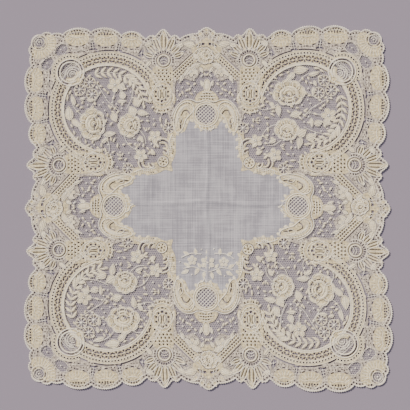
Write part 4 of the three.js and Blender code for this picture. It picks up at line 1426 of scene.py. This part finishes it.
def finishes():
    """All the finishes, made once, in the colours set in the panel."""
    if FINISHES:
        return FINISHES
    sizes = bpy.context.scene.handkerchief_sizes
    colours = bpy.context.scene.handkerchief_colours
    # Needle-lace clothwork: rows of close buttonhole stitch in cream cotton, so a warm tone with fine
    # gaps, with a darker painted shade between the stitches. Real stitches are about 0.5 mm apart, too fine
    # to show, so they are drawn at 2.3 mm
    FINISHES["clothwork"] = cotton(
        "Cream needle-lace clothwork", colours.clothwork, colours.clothwork_shade, thread_mm=1.6, bump=0.6,
        mottle_mm=5.0, stitch_mm=2.3, gaps=colours.clothwork_gap_painted_shade, gap_shade_share=0.42)
    # Looser rows of the same stitch, whiter thread with wider gaps, so cooler and more broken, with a
    # darker painted shade between the stitches. Real stitches are about 0.8 mm apart, drawn at 2.1 mm
    FINISHES["loose"] = cotton(
        "Loose needle-lace stitching", colours.loose, colours.loose_shade, thread_mm=1.6, bump=0.6,
        mottle_mm=6.0, stitch_mm=2.1, gaps=colours.loose_gap_painted_shade, gap_shade_share=0.6)
    # Cordonnet: a bundle of threads oversewn, paler and rounder than the clothwork. The oversewing is
    # really about 0.3 mm from stitch to stitch, drawn at 1.2 mm
    FINISHES["cord"] = cotton(
        "Oversewn cotton cord", colours.cord, colours.cord_shade, thread_mm=1.2, bump=0.3, sheen=0.45)
    # Padded petals and leaves: close satin-like stitches over a core, so the warmest and smoothest part.
    # The stitches are really about 0.3 mm wide, drawn at 1.4 mm
    FINISHES["padding"] = cotton(
        "Padded cotton stitching", colours.padding, colours.padding_shade, thread_mm=1.4, bump=0.4,
        mottle_mm=4.0)
    # Net ground and fillings: single fine threads, a little greyer because light comes through
    FINISHES["net"] = cotton(
        "Fine looped cotton net", colours.net, colours.net_shade, thread_mm=1.0, bump=0.1)
    # Cotton lawn: plain weave, sheer, so the surface under it shows through a little. Its threads are
    # really about 0.3 mm apart, drawn at 1.3 mm
    FINISHES["lawn"] = cotton(
        "Sheer cotton lawn", colours.lawn, colours.lawn_shade, thread_mm=1.3, bump=0.3,
        alpha=sizes.lawn_cover, mottle_mm=22.0, slubs=0.4)
    return FINISHES


PATTERN = {}


def pattern_data():
    """The pattern and its flat arrangement with the pinholes, drawn once."""
    if not PATTERN:
        pattern = make_pattern()
        kind_at = kind_finder(*arrangement(pattern.regions))
        points, triangles, kinds = arrangement(pattern.regions + pinholes(kind_at))
        PATTERN.update(pattern=pattern, points=points, triangles=triangles, kinds=kinds)
    return PATTERN


# Pieces

def lines_piece(name, rows, sides):
    """Round threads along lines, as one curve with a bevel, made a mesh."""
    curve = bpy.data.curves.new(name, "CURVE")
    curve.dimensions = "3D"
    curve.twist_mode = "Z_UP"
    curve.bevel_depth = MM
    curve.bevel_resolution = sides
    for line, radius, closed, level in rows:
        if closed and line[0] == line[-1]:
            line = line[:-1]
        spline = curve.splines.new("POLY")
        spline.points.add(len(line) - 1)
        places = laid(line, level)
        spline.points.foreach_set("co", np.column_stack([places, np.ones(len(places))]).ravel())
        spline.points.foreach_set("radius", np.full(len(places), radius))
        spline.use_cyclic_u = closed
    curve.use_fill_caps = True
    obj = bpy.data.objects.new(name, curve)
    bpy.context.scene.collection.objects.link(obj)
    select(obj)
    bpy.ops.object.convert(target="MESH")
    return bpy.context.view_layer.objects.active


QUARTERS = (("left_top", -1, 1), ("right_top", 1, 1), ("right_bottom", 1, -1), ("left_bottom", -1, -1))


def quarter_of(x, y):
    return next(name for name, side, up in QUARTERS if x * side >= 0 and y * up >= 0)


def build_clothwork(thickness):
    """The clothwork as a thin sheet in four quarters, pierced by all its openings."""
    data = pattern_data()
    points = data["points"]
    groups, looser = {}, {}
    for triangle, kind in zip(data["triangles"], data["kinds"]):
        if kind in (CLOTH, LOOSE):
            x, y = (sum(points[i][axis] for i in triangle) / 3 for axis in (0, 1))
            groups.setdefault(quarter_of(x, y), []).append(triangle)
            looser.setdefault(quarter_of(x, y), []).append(kind == LOOSE)
    pieces = []
    for name, keep in sorted(groups.items()):
        used = sorted({i for t in keep for i in t})
        index = {old: new for new, old in enumerate(used)}
        places = laid([points[i] for i in used], CLOTH_LEVEL + thickness)
        obj = new_mesh("lace_clothwork_" + name, places, [[index[i] for i in t] for t in keep])
        obj.data.polygons.foreach_set("material_index", np.array(looser[name], dtype=np.int32))
        thick = obj.modifiers.new("Thread thickness", "SOLIDIFY")
        thick.thickness = thickness * MM
        thick.offset = -1
        apply_modifiers(obj)
        area = sum(abs(area_of([points[i] for i in t])) for t in keep)
        pieces.append((obj, area * MM * MM))
    return pieces


def build_net(pitch, wire_thick):
    """Six-sided net as a real mesh of threads, wherever the ground is left as net."""
    data = pattern_data()
    kind_at = kind_finder(data["points"], data["triangles"], data["kinds"])
    side = pitch / math.sqrt(3)
    reach = HALF_SIDE + 4
    rows = int(reach / (1.5 * side))
    columns = int(reach / pitch)
    mesh = bmesh.new()
    corners = {}
    for row in range(-rows, rows + 1):
        for column in range(-columns, columns + 1):
            x = (column + 0.5 * (row % 2)) * pitch
            y = row * 1.5 * side
            ring = [polar((x, y), side, 30 + 60 * k) for k in range(6)]
            kinds = [kind_at(px, py) for px, py in ring]
            if NET not in kinds or None in kinds:
                continue
            face = []
            for px, py in ring:
                key = (round(px, 2), round(py, 2))
                if key not in corners:
                    corners[key] = mesh.verts.new((px, py, 0))
                face.append(corners[key])
            mesh.faces.new(face)
    groups = {}
    for face in mesh.faces:
        x, y = face.calc_center_median()[:2]
        groups.setdefault(quarter_of(x, y), []).append(face)
    pieces = []
    for name, faces in sorted(groups.items()):
        index = {}
        for face in faces:
            for vert in face.verts:
                index.setdefault(vert, len(index))
        obj = new_mesh("lace_net_" + name, laid([v.co[:2] for v in index], NET_LEVEL),
                       [[index[v] for v in f.verts] for f in faces])
        wire = obj.modifiers.new("Net thread", "WIREFRAME")
        wire.thickness = wire_thick * MM
        wire.use_boundary = True
        wire.use_replace = True
        apply_modifiers(obj)
        pieces.append(obj)
    mesh.free()
    return pieces


# Rows of a padded shape: share of its outline, and share of its height
PAD_ROWS = ((1.0, 0.0), (0.94, 0.62), (0.55, 0.94))
# Points across a band: share of its half width, and share of its height
BAND_POINTS = ((-1.0, 0.0), (-0.62, 0.74), (0.0, 1.0), (0.62, 0.74), (1.0, 0.0))


def dome_faces(start, rows, count):
    """Walls from row to row of a dome's points, then a fan up to its middle point, and its underside."""
    faces = []
    for k in range(rows - 1):
        for i in range(count):
            a, b = start + k * count + i, start + k * count + (i + 1) % count
            faces.append((a, b, b + count, a + count))
    top = start + (rows - 1) * count
    for i in range(count):
        faces.append((top + i, top + (i + 1) % count, top + count))
    faces.append(tuple(start + i for i in reversed(range(count))))
    return faces


def build_pads(pattern, name):
    """Padded leaves, petals and crescents: low domes of stitches on the ground."""
    points, heights, faces = [], [], []
    for ring, height in pattern.pads:
        pts = np.array(ring)
        middle = pts.mean(0)
        count = len(ring)
        start = len(points)
        for share, lift in PAD_ROWS:
            points += [tuple(p) for p in middle + (pts - middle) * share]
            heights += [PAD_FOOT + lift * height] * count
        points.append(tuple(middle))
        heights.append(PAD_FOOT + height)
        faces += dome_faces(start, len(PAD_ROWS), count)
    for line, width, height, level in pattern.bands:
        add_band(points, heights, faces, line, width, height, level)
    obj = new_mesh(name, laid(points, heights), faces)
    select(obj)
    bpy.ops.object.mode_set(mode="EDIT")
    bpy.ops.mesh.select_all(action="SELECT")
    bpy.ops.mesh.normals_make_consistent(inside=False)
    bpy.ops.object.mode_set(mode="OBJECT")
    return obj


def add_band(points, heights, faces, line, width, height, level):
    """A crescent's rows of points from one tip to the other, its faces and its flat underside."""
    pts = np.array(line, float)
    ahead = np.gradient(pts, axis=0)
    ahead /= np.linalg.norm(ahead, axis=1)[:, None]
    side = np.stack([-ahead[:, 1], ahead[:, 0]], 1)
    count = len(pts)
    first = len(points)
    points.append(tuple(pts[0]))
    heights.append(level)
    rows = []
    for i in range(1, count - 1):
        full = math.sin(math.pi * i / (count - 1)) ** 0.6
        rows.append(len(points))
        for share, lift in BAND_POINTS:
            points.append(tuple(pts[i] + side[i] * share * full * width / 2))
            heights.append(level + lift * height * full)
    last = len(points)
    points.append(tuple(pts[-1]))
    heights.append(level)
    across = len(BAND_POINTS)
    for a, b in zip(rows, rows[1:]):
        for k in range(across - 1):
            faces.append((a + k, b + k, b + k + 1, a + k + 1))
        faces.append((a + across - 1, b + across - 1, b, a))
    for k in range(across):
        nxt = (k + 1) % across
        faces.append((first, rows[0] + k, rows[0] + nxt))
        faces.append((last, rows[-1] + nxt, rows[-1] + k))


# Rows of a knot: share of its radius, and height over its middle as a share of its flattened radius
KNOT_ROWS = ((0.72, -0.6), (1.0, 0.0), (0.66, 0.72))
KNOT_SIDES = 6
KNOT_FLATNESS = 0.7
KNOT_TOP = 0.75


def build_knots(pattern, name):
    """Small round knots: dots on the net and picots on the edge."""
    points, heights, faces = [], [], []
    sides = KNOT_SIDES
    for place, radius in pattern.knots:
        start = len(points)
        for share, level in KNOT_ROWS:
            points += [polar(place, radius * share, 360 * i / sides) for i in range(sides)]
            heights += [RIM_LINE + level * radius * KNOT_FLATNESS] * sides
        points.append(place)
        heights.append(RIM_LINE + radius * KNOT_TOP)
        faces += dome_faces(start, len(KNOT_ROWS), sides)
    return new_mesh(name, laid(points, heights), faces)


CREASES = (
    # Upright and across, over the whole lawn
    {"depth": 0.95, "wide": 1.7, "points": ((1.4, 80), (2.2, 36), (0.6, 4), (3.2, -34), (1.0, -78))},
    {"depth": 0.8, "wide": 1.6, "points": ((-86, 3.4), (-38, 1.6), (0, 3.6), (38, 0.8), (86, 3.2))},
    # A short one in the right arm and in the left
    {"depth": 0.5, "wide": 2.0, "points": ((70.4, 30), (69.6, -4), (71.2, -32))},
    {"depth": 0.45, "wide": 2.0, "points": ((-56.0, 28), (-55.0, 12))},
)
LAWN_CUTS = 120
LAWN_MARGIN = 4
CUTTER_REACH = 5
RIPPLE_HEIGHT = 0.10
RIPPLE_FADE = 10


def crease_height(pts):
    """Pressed folds left in the lawn, as soft ridges that fade to either side."""
    out = np.zeros(len(pts))
    for row in CREASES:
        line = np.array(smooth(list(row["points"]), 6))
        for a, b in zip(line, line[1:]):
            leg = b - a
            t = np.clip(((pts - a) @ leg) / (leg @ leg), 0, 1)
            off = pts - (a + t[:, None] * leg)
            gap = np.hypot(off[:, 0], off[:, 1]) / row["wide"]
            out = np.maximum(out, row["depth"] * np.exp(-gap * gap))
    return out


def build_lawn(thickness):
    """The lawn: a fine grid cut to the cross, with its creases pressed in and a thread's thickness."""
    ring = anticlockwise(lawn_edge())
    reach = max(max(abs(x), abs(y)) for x, y in ring) + LAWN_MARGIN
    outline = without_loops(inset(ring, -LAWN_UNDER_LACE))
    deselect()
    bpy.ops.mesh.primitive_grid_add(x_subdivisions=LAWN_CUTS, y_subdivisions=LAWN_CUTS, size=2 * reach)
    grid = bpy.context.view_layer.objects.active
    count = len(outline)
    caps = [list(range(count))[::-1], list(range(count, 2 * count))]
    walls = [(i, (i + 1) % count, count + (i + 1) % count, count + i) for i in range(count)]
    corners = [(x, y, z) for z in (-CUTTER_REACH, CUTTER_REACH) for x, y in outline]
    cutter = new_mesh("lawn_outline", corners, caps + walls)
    body = grid.modifiers.new("Slab", "SOLIDIFY")
    body.thickness = 1.0
    body.offset = 0
    cut = grid.modifiers.new("Cut to the cross", "BOOLEAN")
    cut.operation = "INTERSECT"
    cut.object = cutter
    cut.solver = "EXACT"
    apply_modifiers(grid)
    bpy.data.objects.remove(cutter)
    mesh = bmesh.new()
    mesh.from_mesh(grid.data)
    lower = [f for f in mesh.faces if f.normal.z < 0.5]
    bmesh.ops.delete(mesh, geom=lower, context="FACES")
    loose = [v for v in mesh.verts if not v.link_faces]
    bmesh.ops.delete(mesh, geom=loose, context="VERTS")
    pts = np.array([v.co[:2] for v in mesh.verts])
    edge_fade = np.clip((reach - np.abs(pts).max(1)) / RIPPLE_FADE, 0, 1)
    x, y = pts[:, 0], pts[:, 1]
    ripple = RIPPLE_HEIGHT * np.sin(x / 5.2 + 0.6 * np.sin(y / 17)) * np.sin(y / 41 + 1)
    places = laid(pts, LAWN_LEVEL + crease_height(pts) + ripple * edge_fade)
    for vert, place in zip(mesh.verts, places):
        vert.co = place
    mesh.to_mesh(grid.data)
    mesh.free()
    grid.name = grid.data.name = "lawn_panel"
    thick = grid.modifiers.new("Thread thickness", "SOLIDIFY")
    thick.thickness = thickness * MM
    thick.offset = -1
    apply_modifiers(grid)
    return grid, abs(area_of(outline)) * MM * MM


LAWN_SPRAY = {"x": 2.0, "y": -60.0}
SPRAY_FLOWERS = (
    {"dx": 0.0, "dy": 1.0, "radius": 7.4, "petals": 6},
    {"dx": -16.0, "dy": 3.4, "radius": 5.0, "petals": 5},
    {"dx": 16.6, "dy": 1.6, "radius": 5.2, "petals": 5},
)
SPRAY_STEMS = (
    ((-25.0, -5.0), (-14.0, -3.4), (0.0, -8.4), (14.0, -4.2), (26.0, -6.6)),
    ((-27.0, 6.2), (-17.0, 10.4), (-6.4, 9.6)),
    ((27.4, 4.8), (18.4, 9.8), (7.0, 10.2)),
)
SPRAY_LEAVES = (
    (-23.6, -8.4, 8.4, 3.6, 205), (-21.6, -1.2, 7.4, 3.2, 150), (-11.4, -7.8, 8.0, 3.6, 240),
    (-8.8, -1.6, 5.4, 2.6, 130), (-4.0, -11.8, 7.0, 3.2, 262), (4.4, -12.2, 7.0, 3.2, 284),
    (11.6, -8.6, 8.0, 3.6, 306), (9.4, -2.4, 5.4, 2.6, 48), (22.4, -10.0, 8.0, 3.4, 330),
    (24.4, -2.4, 7.4, 3.2, 30), (-22.4, 10.6, 6.4, 3.0, 150), (-12.4, 12.4, 6.4, 3.0, 96),
    (23.0, 10.0, 6.4, 3.0, 34), (12.8, 12.4, 6.4, 3.0, 84), (0.0, 12.2, 6.4, 3.2, 90),
)
SPRAY_DOTS = (
    (-28.6, 1.8), (28.8, 0.6), (-6.2, 14.4), (6.6, 14.8), (-16.4, -11.2), (17.2, -12.6), (0.2, -16.6),
)


def draw_lawn_spray(pattern):
    """A plain spray of field flowers worked on the lawn: three flowers, curved stems, leaves and dots."""
    x, y = LAWN_SPRAY["x"], LAWN_SPRAY["y"]
    for line in SPRAY_STEMS:
        pattern.cord([(x + dx, y + dy) for dx, dy in smooth(list(line), 5)], 0.42, level=TOP_LINE)
    for dx, dy, length, width, turn in SPRAY_LEAVES:
        place = (x + dx, y + dy)
        pattern.pad(leaf(place, length, width, turn, 5), 0.6)
        pattern.cord(leaf(place, length + 0.4, width + 0.3, turn, 5), 0.26, closed=True, level=HIGH_LINE)
    for row in SPRAY_FLOWERS:
        centre = (x + row["dx"], y + row["dy"])
        for i in range(row["petals"]):
            turn = 90 + 360.0 * i / row["petals"]
            petal = leaf(polar(centre, row["radius"] * 0.6, turn), row["radius"] * 0.84,
                         row["radius"] * 3.6 / row["petals"], turn, 6, 0.8)
            pattern.pad(petal, 0.65)
            pattern.cord(petal, 0.28, closed=True, level=TOP_LINE)
        pattern.knot(centre, row["radius"] * 0.2)
    for dx, dy in SPRAY_DOTS:
        pattern.knot((x + dx, y + dy), 0.8)


# Sizes and colours that a user would change

class HandkerchiefSizes(bpy.types.PropertyGroup):
    cloth_thickness: bpy.props.FloatProperty(
        name="Clothwork thickness", description="Thickness of the close lace stitching", default=0.00034,
        precision=5, subtype="DISTANCE", unit="LENGTH")
    lawn_thickness: bpy.props.FloatProperty(
        name="Lawn thickness", description="Thickness of the lawn", default=0.00016,
        precision=5, subtype="DISTANCE", unit="LENGTH")
    # Real net loops are about 1 mm across, too fine to show, so they are drawn at 2.2 mm
    net_loop: bpy.props.FloatProperty(
        name="Net loop", description="Width of one loop of the net", default=0.0022,
        precision=5, subtype="DISTANCE", unit="LENGTH")
    net_thread: bpy.props.FloatProperty(
        name="Net thread", description="Thickness of the net's thread", default=0.00025,
        precision=5, subtype="DISTANCE", unit="LENGTH")
    lawn_cover: bpy.props.FloatProperty(
        name="Lawn cover", description="How much the sheer lawn hides of what is under it", default=0.86,
        min=0.0, max=1.0, subtype="FACTOR")
    floor_size: bpy.props.FloatProperty(
        name="Floor", description="Side of the square floor", default=6.0, subtype="DISTANCE", unit="LENGTH")
    view_width: bpy.props.FloatProperty(
        name="View width", description="Width that the camera takes in at the cloth", default=0.4234,
        subtype="DISTANCE", unit="LENGTH")
    view_x: bpy.props.FloatProperty(
        name="View across", description="Middle of the view, to the right", default=-0.0036,
        subtype="DISTANCE", unit="LENGTH")
    view_y: bpy.props.FloatProperty(
        name="View up", description="Middle of the view, upwards", default=0.0039,
        subtype="DISTANCE", unit="LENGTH")
    key_power: bpy.props.FloatProperty(
        name="Key light", description="Strength of the low, soft key light", default=6.4, min=0.0)
    fill_power: bpy.props.FloatProperty(
        name="Fill light", description="Strength of the wide fill light", default=0.3, min=0.0)
    room_power: bpy.props.FloatProperty(
        name="Room light", description="Strength of the even light from all round", default=0.34, min=0.0)


class HandkerchiefColours(bpy.types.PropertyGroup):
    clothwork: bpy.props.StringProperty(
        name="Clothwork", description="Close lace stitching, as a hex value", default="#f4e5ba")
    clothwork_shade: bpy.props.StringProperty(
        name="Clothwork shade", description="Darker patches of the close stitching", default="#dccb9e")
    # Painted shade: the clothwork's gap colour is a darker shade painted between the close stitches
    clothwork_gap_painted_shade: bpy.props.StringProperty(
        name="Clothwork gaps", description="Gaps between the close stitches", default="#8c8784")
    loose: bpy.props.StringProperty(
        name="Loose stitching", description="Loose lace stitching, as a hex value", default="#e7dccb")
    loose_shade: bpy.props.StringProperty(
        name="Loose shade", description="Darker patches of the loose stitching", default="#cfc4b6")
    # Painted shade: the loose stitching's gap colour is a darker shade painted between the loose stitches
    loose_gap_painted_shade: bpy.props.StringProperty(
        name="Loose gaps", description="Gaps between the loose stitches", default="#867c78")
    cord: bpy.props.StringProperty(
        name="Cord", description="Outline cords, threads and dots, as a hex value", default="#f8f3e8")
    cord_shade: bpy.props.StringProperty(
        name="Cord shade", description="Darker patches of the cords", default="#e8e0d0")
    padding: bpy.props.StringProperty(
        name="Padding", description="Padded leaves and petals, as a hex value", default="#f5ebd2")
    padding_shade: bpy.props.StringProperty(
        name="Padding shade", description="Darker patches of the padding", default="#e2d5b6")
    net: bpy.props.StringProperty(
        name="Net", description="Net ground, as a hex value", default="#ded6cd")
    net_shade: bpy.props.StringProperty(
        name="Net shade", description="Darker patches of the net", default="#cdc5bb")
    lawn: bpy.props.StringProperty(
        name="Lawn", description="Sheer lawn, as a hex value", default="#c5c3cc")
    lawn_shade: bpy.props.StringProperty(
        name="Lawn shade", description="Darker threads of the lawn", default="#a4a2ad")
    floor: bpy.props.StringProperty(
        name="Floor", description="Colour of the floor, as a hex value", default="#938c9c")


# Places of the lights and the camera in metres, spreads in degrees, the sensor in millimetres
KEY_LIGHT = {"place": (-1.9, 1.9, 1.75), "spread": 9.0, "colour": "#fff4e4"}
FILL_LIGHT = {"place": (1.6, -1.2, 2.6), "spread": 40.0, "colour": "#eef0ff"}
ROOM_COLOUR = "#e9e8f0"
FLOOR_ROUGHNESS = 0.9
FLOOR_GLOSS = 0.1
CAMERA_HEIGHT = 1.0
CAMERA_NEAR = 0.05
SENSOR_WIDTH = 36.0


class HANDKERCHIEF_OT_stage(bpy.types.Operator):
    """Floor, soft studio lights and the camera straight above"""
    bl_idname = "handkerchief.stage"
    bl_label = "Stage"

    def execute(self, context):
        sizes = context.scene.handkerchief_sizes
        deselect()
        bpy.ops.mesh.primitive_plane_add(size=sizes.floor_size)
        floor = context.view_layer.objects.active
        floor.name = "floor"
        paint = bpy.data.materials.new("Matt pale floor")
        paint.use_nodes = True
        shader = paint.node_tree.nodes["Principled BSDF"]
        shader.inputs["Base Color"].default_value = linear(context.scene.handkerchief_colours.floor)
        shader.inputs["Roughness"].default_value = FLOOR_ROUGHNESS
        shader.inputs["Specular IOR Level"].default_value = FLOOR_GLOSS
        floor.data.materials.append(paint)
        self.light("key", sizes.key_power, **KEY_LIGHT)
        self.light("fill", sizes.fill_power, **FILL_LIGHT)
        world = bpy.data.worlds.new("Studio")
        world.use_nodes = True
        room = world.node_tree.nodes["Background"]
        room.inputs["Color"].default_value = linear(ROOM_COLOUR)
        room.inputs["Strength"].default_value = sizes.room_power
        context.scene.world = world
        deselect()
        bpy.ops.object.camera_add(location=(sizes.view_x, sizes.view_y, CAMERA_HEIGHT), rotation=(0, 0, 0))
        camera = context.view_layer.objects.active
        camera.name = "camera"
        camera.data.sensor_width = SENSOR_WIDTH
        camera.data.lens = SENSOR_WIDTH * CAMERA_HEIGHT / sizes.view_width
        camera.data.clip_start = CAMERA_NEAR
        context.scene.camera = camera
        return {"FINISHED"}

    def light(self, name, strength, place, spread, colour):
        """A far, soft, even light, so that the whole cloth is lit alike."""
        deselect()
        bpy.ops.object.light_add(type="SUN", location=place)
        lamp = bpy.context.view_layer.objects.active
        lamp.name = name
        lamp.data.energy = strength
        lamp.data.angle = radians(spread)
        lamp.data.color = linear(colour)[:3]
        lamp.rotation_mode = "QUATERNION"
        lamp.rotation_quaternion = lamp.location.to_track_quat("Z", "Y")


class HANDKERCHIEF_OT_lawn(bpy.types.Operator):
    """The sheer cross-shaped centre panel"""
    bl_idname = "handkerchief.lawn"
    bl_label = "Lawn"

    def execute(self, context):
        lawn, area = build_lawn(in_mm(context.scene.handkerchief_sizes.lawn_thickness))
        finish_piece(lawn, finishes()["lawn"])
        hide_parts("lawn_centre")
        low, high = np.array(lawn_edge()).min(0), np.array(lawn_edge()).max(0)
        return {"FINISHED"}


class HANDKERCHIEF_OT_lawn_spray(bpy.types.Operator):
    """The spray of field flowers worked on the lawn"""
    bl_idname = "handkerchief.lawn_spray"
    bl_label = "Lawn spray"

    def execute(self, context):
        spray = Pattern()
        draw_lawn_spray(spray)
        finish_piece(build_pads(spray, "lawn_spray_leaves"), finishes()["padding"])
        finish_piece(build_knots(spray, "lawn_spray_dots"), finishes()["cord"])
        finish_piece(lines_piece("lawn_spray_stems", spray.cords, 1), finishes()["cord"])
        return {"FINISHED"}


class HANDKERCHIEF_OT_net(bpy.types.Operator):
    """The net ground of the border, a quarter at a time"""
    bl_idname = "handkerchief.net"
    bl_label = "Net ground"

    def execute(self, context):
        sizes = context.scene.handkerchief_sizes
        for net in build_net(in_mm(sizes.net_loop), in_mm(sizes.net_thread)):
            finish_piece(net, finishes()["net"])
        return {"FINISHED"}


class HANDKERCHIEF_OT_padding(bpy.types.Operator):
    """Raised leaves, petals and crescents, and the picots and dots"""
    bl_idname = "handkerchief.padding"
    bl_label = "Raised leaves and dots"

    def execute(self, context):
        pattern = pattern_data()["pattern"]
        finish_piece(build_pads(pattern, "raised_leaves"), finishes()["padding"])
        finish_piece(build_knots(pattern, "picots_and_dots"), finishes()["cord"])
        return {"FINISHED"}


class HANDKERCHIEF_OT_cords(bpy.types.Operator):
    """Outline cords, fine cords and single threads of the border"""
    bl_idname = "handkerchief.cords"
    bl_label = "Cords and threads"

    def execute(self, context):
        pattern = pattern_data()["pattern"]
        thick = [row for row in pattern.cords if row[1] > THICKEST_FINE_CORD]
        fine = [row for row in pattern.cords if row[1] <= THICKEST_FINE_CORD]
        for name, rows, sides in (("lace_cords", thick, 1), ("lace_fine_cords", fine, 0),
                                  ("lace_threads", pattern.threads, 0)):
            finish_piece(lines_piece(name, rows, sides), finishes()["cord"])
        return {"FINISHED"}


class HANDKERCHIEF_OT_clothwork(bpy.types.Operator):
    """The clothwork of the border: one pierced sheet, made a quarter at a time"""
    bl_idname = "handkerchief.clothwork"
    bl_label = "Clothwork"

    def execute(self, context):
        cloths = build_clothwork(in_mm(context.scene.handkerchief_sizes.cloth_thickness))
        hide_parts("lace_border")
        for cloth, area in cloths:
            finish_piece(cloth, finishes()["clothwork"], finishes()["loose"])
        return {"FINISHED"}


class HANDKERCHIEF_PT_panel(bpy.types.Panel):
    """Lists the steps that build the handkerchief"""
    bl_idname = "HANDKERCHIEF_PT_panel"
    bl_label = "Handkerchief"
    bl_space_type = "VIEW_3D"
    bl_region_type = "UI"
    bl_category = "Handkerchief"

    def draw(self, context):
        for step in STEPS:
            self.layout.operator(step.bl_idname)
        for group in (context.scene.handkerchief_sizes, context.scene.handkerchief_colours):
            for name in type(group).__annotations__:
                self.layout.prop(group, name)


STEPS = (HANDKERCHIEF_OT_stage, HANDKERCHIEF_OT_lawn_spray, HANDKERCHIEF_OT_lawn, HANDKERCHIEF_OT_net,
         HANDKERCHIEF_OT_padding, HANDKERCHIEF_OT_cords, HANDKERCHIEF_OT_clothwork)
CLASSES = (HandkerchiefSizes, HandkerchiefColours, *STEPS, HANDKERCHIEF_PT_panel)


def register():
    for item in CLASSES:
        bpy.utils.register_class(item)
    bpy.types.Scene.handkerchief_sizes = bpy.props.PointerProperty(type=HandkerchiefSizes)
    bpy.types.Scene.handkerchief_colours = bpy.props.PointerProperty(type=HandkerchiefColours)


def unregister():
    del bpy.types.Scene.handkerchief_colours
    del bpy.types.Scene.handkerchief_sizes
    for item in reversed(CLASSES):
        bpy.utils.unregister_class(item)


def main():
    register()
    bpy.ops.handkerchief.stage()
    bpy.ops.handkerchief.lawn_spray()
    bpy.ops.handkerchief.lawn()
    bpy.ops.handkerchief.net()
    bpy.ops.handkerchief.padding()
    bpy.ops.handkerchief.cords()
    bpy.ops.handkerchief.clothwork()


if __name__ == "__main__":
    main()
